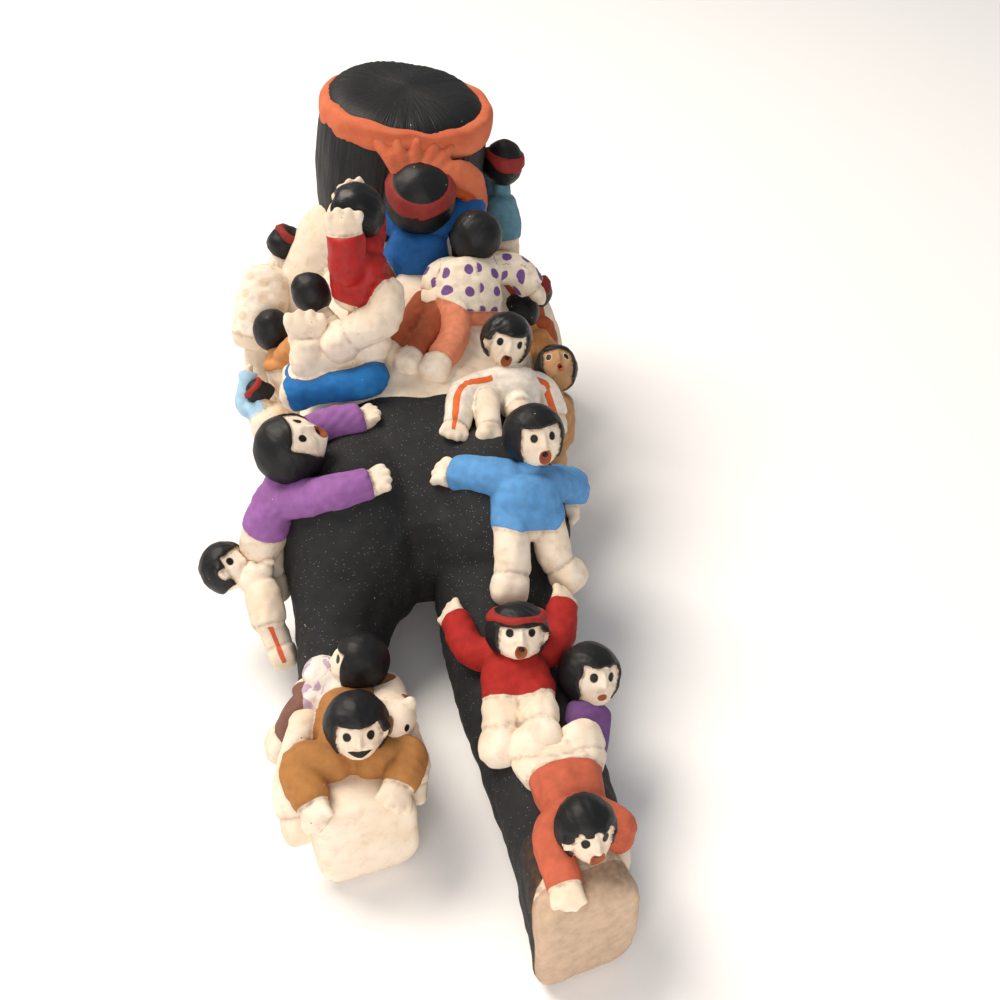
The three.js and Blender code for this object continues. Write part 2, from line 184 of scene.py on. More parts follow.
def smooth_path(rows, steps=6):
    """Rows of numbers made finer by cubics, whose slopes come from the rows on both sides."""
    rows = np.asarray(rows, float)
    ends = np.vstack([2 * rows[0] - rows[1], rows, 2 * rows[-1] - rows[-2]])
    p0, p1, p2, p3 = (ends[k:len(ends) - 3 + k, None] for k in range(4))
    t = np.linspace(0, 1, steps, endpoint=False)[None, :, None]
    cubic = 2 * p1 + (p2 - p0) * t + (2 * p0 - 5 * p1 + 4 * p2 - p3) * t ** 2
    cubic = (cubic + (3 * p1 - p0 - 3 * p2 + p3) * t ** 3) / 2
    return np.vstack([cubic.reshape(-1, rows.shape[1]), rows[-1]])


def squared(value, power):
    """A number's size raised to a power, its sign kept. Under 1 this squares a circle towards a box."""
    return np.sign(value) * np.abs(value) ** power


def hump(x, y, wide, high):
    """A soft hump of height 1 that falls off by the bell curve over the two widths."""
    return np.exp(-((x / wide) ** 2 + (y / high) ** 2))


print("4 rows of a path become", len(smooth_path([(0, 0, 0, 1)] * 4)))

# %% Limbs and balls
ANY_SIDE = (0.31, 0.22, 0.93)
CAP = np.radians([75, 55, 35, 15])  # where the rings of a rounded end lie on their quarter circle


def limb(stations, around=16, flat=1.0, side=ANY_SIDE, ends=((0.8, 1), (0.8, 1)), square=1.0):
    """A rolled limb from rows of x, y, z and radius: a circle, `flat` as thick as wide and squared by a
    power, is carried along the path and set square to it. Each end is closed over a length (in radii),
    round with 1 and blunt with less."""
    rows = smooth_path(stations)
    centre = rows[:, :3]
    radius = rows[:, 3]
    along = unit(np.gradient(centre, axis=0))
    (first_tip, first_round), (last_tip, last_round) = ends
    before = centre[0] - along[0] * first_tip * radius[0] * np.sin(CAP)[:, None]
    after = centre[-1] + along[-1] * last_tip * radius[-1] * np.sin(CAP[::-1])[:, None]
    centres = np.vstack([before, centre, after])
    radii = [radius[0] * np.cos(CAP) ** first_round, radius, radius[-1] * np.cos(CAP[::-1]) ** last_round]
    radii = np.concatenate(radii)[:, None, None]
    start, end = (np.repeat(tip, len(CAP), axis=0) for tip in (along[:1], along[-1:]))
    runs = np.vstack([start, along, end])
    thick = unit(np.cross(runs, side))
    wide = np.cross(runs, thick)
    turn = np.linspace(0, 2 * np.pi, around, endpoint=False)[None, :, None]
    level = squared(np.cos(turn), square) * wide[:, None]
    upright = flat * squared(np.sin(turn), square) * thick[:, None]
    rings = centres[:, None] + radii * (level + upright)
    first = centre[0] - along[0] * first_tip * radius[0]
    last = centre[-1] + along[-1] * last_tip * radius[-1]
    return skin(rings, first, last)


def directions(around, rings):
    """A grid of unit vectors from the top pole to the bottom one, without the poles."""
    polar = np.linspace(0, np.pi, rings + 2)[1:-1, None]
    turn = np.linspace(0, 2 * np.pi, around, endpoint=False)[None]
    level = np.sin(polar)
    return np.stack([level * np.cos(turn), level * np.sin(turn), np.cos(polar) + 0 * turn], axis=-1)


def ball(centre, half, turn=np.eye(3), around=24, rings=14, power=2.0):
    """A ball with three half-widths: each direction d is stretched to where the sum of |d / half| **
    power is 1. A power over 2 squares it towards a block."""
    grid = directions(around, rings)
    poles = np.array([[0, 0, 1.0], [0, 0, -1.0]])
    reach = lambda d: (np.abs(d / half) ** power).sum(axis=-1, keepdims=True) ** (-1 / power)
    rings_out = (grid * reach(grid)) @ turn.T + centre
    top, bottom = (poles * reach(poles)) @ turn.T + centre
    return skin(rings_out, top, bottom)


print("one finger is", len(limb([(0, 0, 0, 1), (0, 1.5, 0, 1), (0, 3, 0, 1)], around=10)[1]), "triangles")

# %% Slow noise
def wander(points, grain, seed):
    """Smooth noise, mostly within -1 and 1: nine sine waves about `grain` millimetres long, crossing."""
    random = np.random.default_rng(seed)
    heading = unit(random.normal(size=(9, 3)))
    length = grain * random.uniform(0.7, 1.6, 9)
    phase = random.uniform(0, 2 * np.pi, 9)
    waves = points @ (heading / length[:, None]).T * 2 * np.pi + phase
    return np.sin(waves).sum(axis=-1) / 3


spread = wander(np.random.default_rng(1).uniform(0, 100, (1000, 3)), 5, 1)
print("slow noise runs from", spread.min().round(2), "to", spread.max().round(2))

# %% [markdown]
# ## Wet clay that joins
#
# Where two rolls of clay are pressed together, a finger smooths the seam. A boolean union would leave a
# knife edge there, so the rolls of one body are put in one heap and melted with a voxel remesh. A few
# rounds of relaxing then draw the little steps of the voxels out, and slow noise leaves the dents of
# the hand.

# %% Melting
def heap(shells):
    """Several shells as one list of points and one list of faces."""
    starts = np.cumsum([0] + [len(points) for points, *_ in shells])
    points = np.vstack([shell[0] for shell in shells])
    faces = [(shell[1] + start).tolist() for shell, start in zip(shells, starts)]
    return points, sum(faces, [])


def melt(shells, voxel):
    """Overlapping shells become one: the remesh keeps the heap's outer skin, in squares of `voxel`."""
    points, faces = heap(shells)
    mesh = bpy.data.meshes.new("heap")
    mesh.from_pydata((points * MM).tolist(), [], faces)
    thing = bpy.data.objects.new("heap", mesh)
    bpy.context.collection.objects.link(thing)
    remesh = thing.modifiers.new("melt", "REMESH")
    remesh.mode = "VOXEL"
    remesh.voxel_size = voxel * MM
    melted = thing.evaluated_get(bpy.context.evaluated_depsgraph_get()).to_mesh()
    places = np.empty(len(melted.vertices) * 3)
    melted.vertices.foreach_get("co", places)
    corners = np.empty(len(melted.loops), int)
    melted.loops.foreach_get("vertex_index", corners)
    bpy.data.objects.remove(thing)
    bpy.data.meshes.remove(mesh)
    return places.reshape(-1, 3) / MM, corners.reshape(-1, 4)


print("a melted ball has", len(melt([ball((0, 0, 0), (5, 5, 5))], 0.5)[0]), "points")

# %% Relaxing and denting
def neighbours_mean(points, faces):
    """For each point the mean of the points that share an edge with it."""
    pairs = np.concatenate([np.stack([faces[:, k], faces[:, (k + 1) % 4]], axis=1) for k in range(4)])
    pairs = np.concatenate([pairs, pairs[:, ::-1]])
    count = np.bincount(pairs[:, 0], minlength=len(points))
    sums = [np.bincount(pairs[:, 0], points[pairs[:, 1], axis], len(points)) for axis in range(3)]
    return np.stack(sums, axis=1) / count[:, None]


def relax(points, faces, rounds, share=0.5):
    """Each point goes a share of the way to the mean of its neighbours, some rounds over."""
    for _ in range(rounds):
        points = points + share * (neighbours_mean(points, faces) - points)
    return points


def normals(points, faces):
    """The outward normal of each point: the sum of the normals of the squares that meet there."""
    a, b, c, d = (points[faces[:, k]] for k in range(4))
    across = np.cross(c - a, d - b)
    sums = [np.bincount(faces.ravel(), np.repeat(across[:, axis], 4), len(points)) for axis in range(3)]
    return unit(np.stack(sums, axis=1) + 1e-12)


def crevice(points, faces, voxel):
    """How much a point lies in a hollow, from 0 to 1: how far the mean of its neighbours stands out."""
    out = ((neighbours_mean(points, faces) - points) * normals(points, faces)).sum(axis=1)
    return np.clip(out / voxel * 9, 0, 1)


def body_of_clay(shells, voxel, seed, dents=0.18, rounds=3):
    """Shells melted, relaxed and dented by slow noise. Gives points, squares and crevices."""
    points, faces = melt(shells, voxel)
    points = relax(points, faces, rounds)
    hollows = crevice(points, faces, voxel)
    lumps = dents * wander(points, 7, seed) + dents * 0.45 * wander(points, 2.6, seed + 1)
    return points + normals(points, faces) * lumps[:, None], faces, hollows


# %% How far a point lies off a limb
def past(points, stations):
    """How far points lie outside a limb's skin, in millimetres, the place on its path that is nearest,
    and the path's direction there: the least of distance less radius over a fine row of stations."""
    rows = smooth_path(stations, 10)
    away = np.linalg.norm(points[:, None] - rows[None, :, :3], axis=2) - rows[None, :, 3]
    nearest = away.argmin(axis=1)
    along = unit(np.gradient(rows[:, :3], axis=0))
    return away[np.arange(len(points)), nearest], rows[nearest], along[nearest]


off_limb = past(np.array([[5.0, 0, 0]]), [(0, -3, 0, 1), (0, 3, 0, 1)])[0]
print("5 mm off the middle of a limb of radius 1 is", off_limb[0].round(1), "mm off its skin")

# %% One piece of the model
OUTSIDE = -9.0  # what a painted area's number is on a shell that has none of that paint


def clay_piece(name, shells, material):
    """One object from shells of (points, faces, marks). A mark is one number or one vector per point."""
    points, faces = heap(shells)
    mesh = bpy.data.meshes.new(name)
    mesh.from_pydata((points * MM).tolist(), [], faces)
    for key in sorted({key for _, _, marks in shells for key in marks}):
        known = next(np.asarray(marks[key]) for _, _, marks in shells if key in marks)
        blank = 0.0 if known.ndim == 2 or key == "dirt" else OUTSIDE
        columns = [marks.get(key, np.full((len(p),) + known.shape[1:], blank)) for p, _, marks in shells]
        kind, field = ("FLOAT_VECTOR", "vector") if known.ndim == 2 else ("FLOAT", "value")
        layer = mesh.attributes.new(key, kind, "POINT")
        layer.data.foreach_set(field, np.concatenate(columns).ravel().astype(np.float32))
    mesh.polygons.foreach_set("use_smooth", np.ones(len(mesh.polygons), bool))
    mesh.materials.append(material)
    thing = bpy.data.objects.new(name, mesh)
    bpy.context.collection.objects.link(thing)
    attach(thing, "root")
    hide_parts("storyteller")
    triangles = sum(len(face) - 2 for face in faces)
    print(name, triangles, "triangles")

# %% [markdown]
# ## Slip, paint, dust and painted shade
#
# Fired clay under a thin cream slip is matte and warm, with pin holes where grit burnt out and brown
# dust in the folds, and the folds, hems and hollows are darkened further with painted shade. The
# colours are matte paint put on with a brush: a little uneven, with a wavering edge and small chips
# that show the slip. The black cloth is sprinkled with pale specks. One node tree does all of it: cream
# first, then a coat for each painted area, each mixed in by the area's number.

# %% Colours
CREAM = "#f0e2d0"
CREAM_SHADE = "#e3cfb4"
STAIN = "#b8946c"
# The brown laid on as dust, and as painted shade in hollows, folds and grooves
DUST_AND_SHADE_BROWN = "#6f4a2c"
PIT = "#6a5140"
HAIR = "#141517"
CLOTH_BLACK = "#242526"
EYE_BLACK = "#0f0e0e"
EYE_RIM = "#dfceb6"
LIP_BROWN = "#9c5232"
SPECK = "#cfc9be"
LINT = "#dcdad6"


print("cream in linear light", [round(part, 2) for part in srgb(CREAM)])

# %% Nodes
def node(tree, kind, inputs=None, **settings):
    """Adds a node with its settings. An input is linked if given a socket, and set if given a value."""
    made = tree.nodes.new("ShaderNode" + kind)
    for name, value in settings.items():
        setattr(made, name, value)
    for key, value in (inputs or {}).items():
        if isinstance(value, bpy.types.NodeSocket):
            tree.links.new(value, made.inputs[key])
        else:
            made.inputs[key].default_value = value
    return made


def noise(tree, where, grain, detail=2.0):
    """Noise with lumps of `grain` millimetres, as a socket."""
    inputs = {"Vector": where, "Scale": 1 / (grain * MM), "Detail": detail}
    return node(tree, "TexNoise", inputs).outputs[0]


def step_up(tree, value, low, high, top=1.0, bottom=0.0):
    """A number that goes from `bottom` to `top` as another goes from low to high."""
    return node(tree, "MapRange", {0: value, 1: low, 2: high, 3: bottom, 4: top}).outputs[0]


def times(tree, a, b):
    """Two numbers multiplied."""
    return node(tree, "Math", {0: a, 1: b}, operation="MULTIPLY").outputs[0]


def over(tree, factor, under_colour, colour):
    """One colour laid over another by a factor."""
    return node(tree, "Mix", {0: factor, 6: under_colour, 7: colour}, data_type="RGBA").outputs[2]


def carried(tree, name, kind="Fac"):
    """What the vertices carry under a name, as a socket."""
    return node(tree, "Attribute", attribute_name=name).outputs[kind]


# %% Brushed areas, specks and spots
def area(tree, where, name, waver=0.14, edge=0.07):
    """1 inside a painted area and 0 outside: the area's number plus a noise that makes its edge waver."""
    inputs = {0: noise(tree, where, 1.1), 1: 2 * waver, 2: carried(tree, name)}
    shifted = node(tree, "Math", inputs, operation="MULTIPLY_ADD").outputs[0]
    return step_up(tree, shifted, waver - edge, waver + edge)


def specks(tree, where, spacing, size, share):
    """1 on round specks: cells about `spacing` apart, of which a share holds a speck of radius `size`."""
    cells = node(tree, "TexVoronoi", {"Vector": where, "Scale": 1 / (spacing * MM)})
    near = step_up(tree, cells.outputs["Distance"], size / spacing, 0.6 * size / spacing)
    pick = node(tree, "SeparateColor", {0: cells.outputs["Color"]}).outputs[0]
    return times(tree, near, step_up(tree, pick, 1 - share, 1 - share + 0.01))


def brushed(tree, where, code, spread=0.13):
    """A painted colour, darker and lighter in patches of two millimetres, as a brush leaves it."""
    tone = np.array(srgb(code)[:3])
    dark = (*(tone * (1 - spread)).tolist(), 1.0)
    light = (*np.clip(tone * (1 + spread), 0, 1).tolist(), 1.0)
    return over(tree, step_up(tree, noise(tree, where, 2.2, 5.0), 0.3, 0.7), dark, light)


def round_spots(tree, where, spacing, radius):
    """1 on round spots of a cloth: the cells of its own plane, with a size that changes a little from
    place to place."""
    inputs = {"Vector": carried(tree, "weave", "Vector"), "Scale": 1 / spacing, "Randomness": 0.35}
    away = node(tree, "TexVoronoi", inputs, voronoi_dimensions="2D").outputs["Distance"]
    size = noise(tree, where, 4)
    reach = step_up(tree, size, 0.3, 0.7, 1.12 * radius / spacing, 0.88 * radius / spacing)
    ratio = node(tree, "Math", {0: away, 1: reach}, operation="DIVIDE").outputs[0]
    return step_up(tree, ratio, 1.06, 0.94)


# %% The finish of one body
def painted_clay(name, coats, dots=None, glitter=None, base=CREAM, shade=CREAM_SHADE, combed=False):
    """The finish of one body. coats are (area, hex colour, roughness), from the first coat to the last.
    dots are (area, hex colour, spacing, radius) for round spots on cloth. glitter is (area, share) for
    pale specks."""
    material = bpy.data.materials.new(name)
    material.use_nodes = True
    tree = material.node_tree
    shader = tree.nodes["Principled BSDF"]
    shader.inputs["Specular IOR Level"].default_value = 0.3
    where = node(tree, "TexCoord").outputs["Object"]
    colour = over(tree, step_up(tree, noise(tree, where, 9, 3.0), 0.35, 0.75), srgb(base), srgb(shade))
    stain = step_up(tree, noise(tree, where, 2.6, 6.0), 0.52, 0.75, 0.3)
    colour = over(tree, stain, colour, srgb(STAIN))
    pits = specks(tree, where, spacing=2.4, size=0.15, share=0.2)
    colour = over(tree, pits, colour, srgb(PIT))
    rough = step_up(tree, noise(tree, where, 1.5), 0.0, 1.0, 0.98, 0.8)
    inside = {}
    for part, code, roughness in coats:
        inside[part] = area(tree, where, part)
        colour = over(tree, inside[part], colour, brushed(tree, where, code))
        rough = node(tree, "Mix", {0: inside[part], 2: rough, 3: roughness}).outputs[0]
        if dots and part == dots[0]:
            _, dot_code, spacing, radius = dots
            spot = times(tree, round_spots(tree, where, spacing, radius), inside[part])
            colour = over(tree, spot, colour, brushed(tree, where, dot_code))
    chips = specks(tree, where, spacing=2.9, size=0.16, share=0.12)
    colour = over(tree, chips, colour, srgb(base))
    if glitter:
        part, share = glitter
        fine = specks(tree, where, spacing=0.7, size=0.075, share=share)
        colour = over(tree, times(tree, fine, inside[part]), colour, srgb(SPECK))
        lint = specks(tree, where, spacing=9.0, size=0.26, share=0.16)
        colour = over(tree, times(tree, lint, inside[part]), colour, srgb(LINT))
    # Brown dust and painted shade in hollows, folds and along edges, from each vertex's number, broken up
    # by noise
    dirt = carried(tree, "dirt")
    dirt = times(tree, dirt, step_up(tree, noise(tree, where, 1.3, 4.0), 0.3, 0.62, 0.85))
    colour = over(tree, dirt, colour, srgb(DUST_AND_SHADE_BROWN))
    tree.links.new(colour, shader.inputs["Base Color"])
    tree.links.new(rough, shader.inputs["Roughness"])
    inputs = {"Height": noise(tree, where, 0.55, 6.0), "Strength": 0.33, "Distance": 0.16 * MM}
    bump = node(tree, "Bump", inputs).outputs[0]
    inputs = {"Height": pits, "Strength": 0.9, "Distance": 0.2 * MM, "Normal": bump}
    bump = node(tree, "Bump", inputs, invert=True).outputs[0]
    if combed:
        inputs = {"Vector": carried(tree, "comb", "Vector"), "Scale": 1.5}
        strands = node(tree, "TexNoise", inputs).outputs[0]
        inputs = {"Height": times(tree, strands, inside["hair"]), "Strength": 0.6, "Distance": 0.4 * MM}
        bump = node(tree, "Bump", {**inputs, "Normal": bump}).outputs[0]
    tree.links.new(bump, shader.inputs["Normal"])
    return material


# %% [markdown]
# ## The storyteller's body
#
# The body lies flat on the belly. The back rises to the shoulders, the buttocks are two round lobes,
# and the legs end in block feet with upright soles. The trunk is a stack of squared ovals, the rest are
# limbs and balls, and all of it is melted in squares of one millimetre. What would lie under the table
# top is pressed flat.

# %% Where the limbs lie
TRUNK = [  # middle x, y, z, half-width and half-height of each section
    (-1, -32, 27, 21, 13),
    (-1, -14, 23, 33, 26),
    (-1, 6, 24, 34, 27.5),
    (0, 26, 26, 34, 29),
    (0, 48, 30, 34, 30),
    (0, 68, 35, 32, 28),
    (0, 84, 40, 28, 22),
    (0, 96, 42, 18, 14),
]
LEFT_LEG = [(-20, -26, 23, 18), (-24, -48, 14, 11), (-23, -70, 12.5, 11.2), (-19, -92, 12, 11)]
RIGHT_LEG = [(17, -26, 23, 18), (16, -52, 15, 15), (19.5, -80, 14.5, 14), (24, -112, 14, 12.3)]
NECK = [(0, 78, 50, 18), (2, 88, 64, 16)]
BUTTOCKS = [(-18, -15, 25), (16.5, -17, 25)]
BUTTOCK_HALF = (20.5, 28, 26.5)
# A foot: the middle of its sole, height and length, turn in radians, and how it narrows to the heel
LEFT_FOOT = dict(sole=(-18, -102.4), high=24.5, long=20, turn=0.26, inner=1, drawn=1.0)
RIGHT_FOOT = dict(sole=(24.7, -129.7), high=27.5, long=20, turn=0.31, inner=-1, drawn=4.5)
FOOT_WIDTH = 23
HEM = 6.0  # where the shirt ends on the back
BODY_VOXEL = 1.0
END_SWELL = 0.28  # how far either end of the trunk swells out, as a share of its half-height


print("the trunk runs from", TRUNK[0][1], "to", TRUNK[-1][1], "mm along Y")

# %% Trunk and feet
def laid_body(sections, around=48, square=0.82):
    """Squared ovals set upright along Y: across and up are cosine and sine with their size to the power
    `square`, times the half-width and half-height of the section."""
    rows = smooth_path(sections)
    turn = np.linspace(0, 2 * np.pi, around, endpoint=False)[None]
    x = rows[:, :1] + squared(np.cos(turn), square) * rows[:, 3:4]
    z = rows[:, 2:3] + squared(np.sin(turn), square) * rows[:, 4:5]
    rings = np.stack([x, rows[:, 1:2] + 0 * turn, z], axis=-1)
    first = rows[0, :3] - [0, END_SWELL * rows[0, 4], 0]
    last = rows[-1, :3] + [0, END_SWELL * rows[-1, 4], 0]
    return skin(rings, first, last)


def foot_block(sole, high, long, turn, inner, drawn):
    """A block with round corners: rings of a squared oval run from the sole to the heel, and a ring
    near either face is drawn in along a quarter circle, which rounds the edge. Towards the heel the
    side that faces `inner` is drawn in, a share of `drawn` for each share of the length."""
    corner = 4.2  # the power that squares the oval
    edge = 1.7  # the radius of the rounded edge
    turns = np.linspace(0, 2 * np.pi, 72, endpoint=False)
    level = squared(np.cos(turns), 2 / corner)
    upright = squared(np.sin(turns), 2 / corner)
    outline = np.stack([level, 0 * turns, upright], axis=1)
    quarter = np.radians([0, 22, 45, 67, 90])
    front = edge * (1 - np.sin(quarter[::-1]))
    inset = edge * (1 - np.cos(quarter[::-1]))
    depth = np.concatenate([front, long - front[::-1]])
    drawn_in = np.concatenate([inset, inset[::-1]])
    narrow = drawn / 2 * depth / long
    half = np.stack([FOOT_WIDTH / 2 - drawn_in - narrow, 0 * drawn_in, high / 2 - drawn_in], axis=1)
    middles = np.stack([-inner * narrow, depth, 0 * depth + high / 2], axis=1)
    rings = outline[None] * half[:, None] + middles[:, None]
    spin = np.array([[np.cos(turn), -np.sin(turn), 0], [np.sin(turn), np.cos(turn), 0], [0, 0, 1]])
    place = np.array([sole[0], sole[1], 0])
    return skin(rings @ spin.T + place, middles[0] @ spin.T + place, middles[-1] @ spin.T + place)


print("a foot is", len(foot_block(**LEFT_FOOT)[1]), "triangles")

# %% Arms, and the way out of the skin
def arm_paths(side):
    """The upper arm and the forearm of one side. The left shoulder is drawn up under the head."""
    shoulder = [(-20, 84, 56, 14.5), (-30, 80, 42, 12)] if side < 0 else [(25, 84, 42, 12)]
    upper = [*shoulder, (side * 36, 77, 27, 10.5), (side * 40, 72, 12, 9.8)]
    fore = [(side * 40, 72, 10, 9.5), (side * 36, 86, 9, 8), (side * 31, 99, 8.5, 7.2)]
    return upper, fore


FRAME_LIMBS = [LEFT_LEG, RIGHT_LEG, *arm_paths(-1), *arm_paths(1)]
TRUNK_CORE = [(x, y, z, (wide + high) / 2) for x, y, z, wide, high in TRUNK]


def away_from_body(point):
    """The direction out of the storyteller's skin nearest to a point."""
    found = [past(np.array([point], float), stations) for stations in [*FRAME_LIMBS, TRUNK_CORE]]
    nearest = min(found, key=lambda each: each[0][0])[1]
    return unit(np.array(point) - nearest[0, :3])


print("out of the skin over the back is", away_from_body((0, 30, 60)).round(2))

# %% The body, melted and painted
def bare_foot(points, spec, cuff, slope):
    """How far points lie in the bare part of a foot: up to `cuff` from the sole, and further to the
    outer side and the top by `slope` for each millimetre."""
    ahead = np.array([-np.sin(spec["turn"]), np.cos(spec["turn"])])
    beside = np.array([ahead[1], -ahead[0]])
    offset = points[:, :2] - np.array(spec["sole"])
    outwards = -spec["inner"] * (offset @ beside) + (points[:, 2] - spec["high"] / 2) * 0.6
    line = cuff + slope * outwards - offset @ ahead
    return np.where(np.abs(offset @ beside) < 0.75 * FOOT_WIDTH, line, OUTSIDE)


def storyteller_body():
    """The trunk, buttocks, legs, feet, arms and neck in one skin, with its painted areas."""
    parts = [laid_body(TRUNK), foot_block(**LEFT_FOOT), foot_block(**RIGHT_FOOT)]
    parts += [ball(place, BUTTOCK_HALF, around=40, rings=26) for place in BUTTOCKS]
    parts += [limb(path, around=32) for path in [*FRAME_LIMBS, NECK]]
    points, faces = melt(parts, BODY_VOXEL)
    points = relax(points, faces, rounds=3)
    hollows = crevice(points, faces, BODY_VOXEL)
    hem = HEM + 0.5 * wander(points * [1, 0, 1], 14, 3) - points[:, 1]
    bare = bare_foot(points, LEFT_FOOT, cuff=17, slope=0.1)
    bare = np.maximum(bare, bare_foot(points, RIGHT_FOOT, cuff=8.5, slope=0.42))
    trousers = np.minimum(hem, -bare)
    shirt_edge = 0.5 * np.clip(-hem / 0.9 + 0.5, 0, 1)
    on_foot = np.clip(bare / 3, 0, 1)
    lumps = (0.24 * wander(points, 11, 5) + 0.12 * wander(points, 4, 6)) * (1 - 0.6 * on_foot)
    points = points + normals(points, faces) * (lumps + shirt_edge)[:, None]
    points[:, 2] = np.maximum(points[:, 2], 0)
    # The right sole gets a duller grey-brown coat: partly wear, partly painted shade, as it faces away from
    # the window light
    worn = bare_foot(points, RIGHT_FOOT, cuff=7, slope=0.0)
    from_sole = points[:, 1] - RIGHT_FOOT["sole"][1]
    heel = hump(from_sole - 9, points[:, 2] - RIGHT_FOOT["high"], 7, 4) * (points[:, 0] > 10)
    rim = hump(bare, 0, 1.2, 1.0)
    # Dirt on the heel and along the cuff, and dust with painted shade in the hollows
    scuffs_and_shade = 0.5 * heel + 0.5 * rim + hollows * np.clip(1 - 2 * trousers, 0.05, 1)
    return points, faces, {"worn": worn, "cloth": trousers, "dirt": np.clip(scuffs_and_shade, 0, 0.8)}


body_coats = [("worn", "#bfa68e", 0.95), ("cloth", CLOTH_BLACK, 0.8)]
body_finish = painted_clay("cream_slip_and_black", body_coats, glitter=("cloth", 0.8))
clay_piece("storyteller_body", [storyteller_body()], body_finish)

# %% [markdown]
# ## A head with hair
#
# A child's head is a ball with a cap of clay for the hair, which stands a little proud and ends in a
# crisp lip round the face. The nose is pinched, the eyes are pressed dots, and a pointed stick makes
# the open mouth. The radius of the ball is a formula of two angles: across from the nose and up from
# it. The grid's pole lies on the nose, and its rings are closest there, so the face gets the finest
# mesh.

# %% The grid of a face
EYE_UP = 12.0  # degrees
EYE_ACROSS = 23.0
MOUTH_UP = -24.0
FRINGE_UP = 31.0
FACE_SIDE = 47.0
HAIR_THICK = 0.8
POLES = np.array([[0, 1.0, 0], [0, -1.0, 0]])  # the first and the last point of a grid round a face


def face_grid(around, rings, crowd=0.62):
    """Unit vectors in a grid round the nose: `crowd` of the rings lie within 80 degrees of it."""
    share = np.linspace(0, 1, rings + 2)[1:-1]
    away = np.radians(np.interp(share, [0, crowd, 1], [0, 80, 180]))[:, None]
    turn = np.linspace(0, 2 * np.pi, around, endpoint=False)[None]
    out = np.sin(away)
    return np.stack([out * np.sin(turn), np.cos(away) + 0 * turn, out * np.cos(turn)], axis=-1)


print("the grid of a face has", face_grid(96, 56).shape[:2], "points")

# %% Hair and mouth
def child_hair(across, up, level, mm, style):
    """How far a direction lies inside the cap of hair, in millimetres. The cap ends at a straight
    fringe, at a line down either side of the face, and in a curve from the jaw to the nape. An ear
    pushes it back."""
    fringe = FRINGE_UP + style.get("fringe", 0)
    wave = style.get("wave", 0.1) * np.sin(up / 7 + 2 * np.sin(across / 11) + style["seed"])
    over_brow = (up - fringe) * mm + wave
    beside = (np.abs(across) - FACE_SIDE) * level * mm + wave
    end = style.get("hair_end", -50) - 12 * np.cos(np.radians(180 - np.abs(across)))
    hair = np.minimum(np.maximum(over_brow, beside), (up - end) * mm)
    for side in style.get("ears", ()):
        hair = hair - 3.2 * hump(across - side * 66, up + 7, 13, 17)
    if "chipped" in style:
        hair = hair - style["chipped"] * np.clip(wander(np.stack([across, up, up], -1), 26, 5), 0, 1)
    return hair


def child_mouth(x, y, kind, size):
    """The relief of a mouth, its painted lips and its dark part, by millimetres from its middle. An
    open mouth is a hollow with a rim, and its dark part is painted shade of the hole; a smile is a
    crescent, and a small one is a flat oval."""
    if kind == "open":
        ring = np.hypot(x, y * 0.85) / size
        relief = 0.5 * hump(ring - 1.4, 0, 0.5, 1) - 0.6 * np.clip((1.2 - ring) / 0.7, 0, 1)
        return relief, (1.5 - ring) * size, (0.72 - np.hypot(x + 0.15, y - 0.05) / size) * size
    if kind == "smile":
        dark = np.minimum(0.95 - 0.05 * x ** 2 - y, y + 0.8 - 0.17 * x ** 2)
        return -0.12 * np.clip(dark * 3, 0, 1), np.full(x.shape, OUTSIDE), dark
    return 0.15 * hump(x, y, 1.2, 0.8), 1 - np.hypot(x / 1.2, y / 0.75), np.full(x.shape, OUTSIDE)


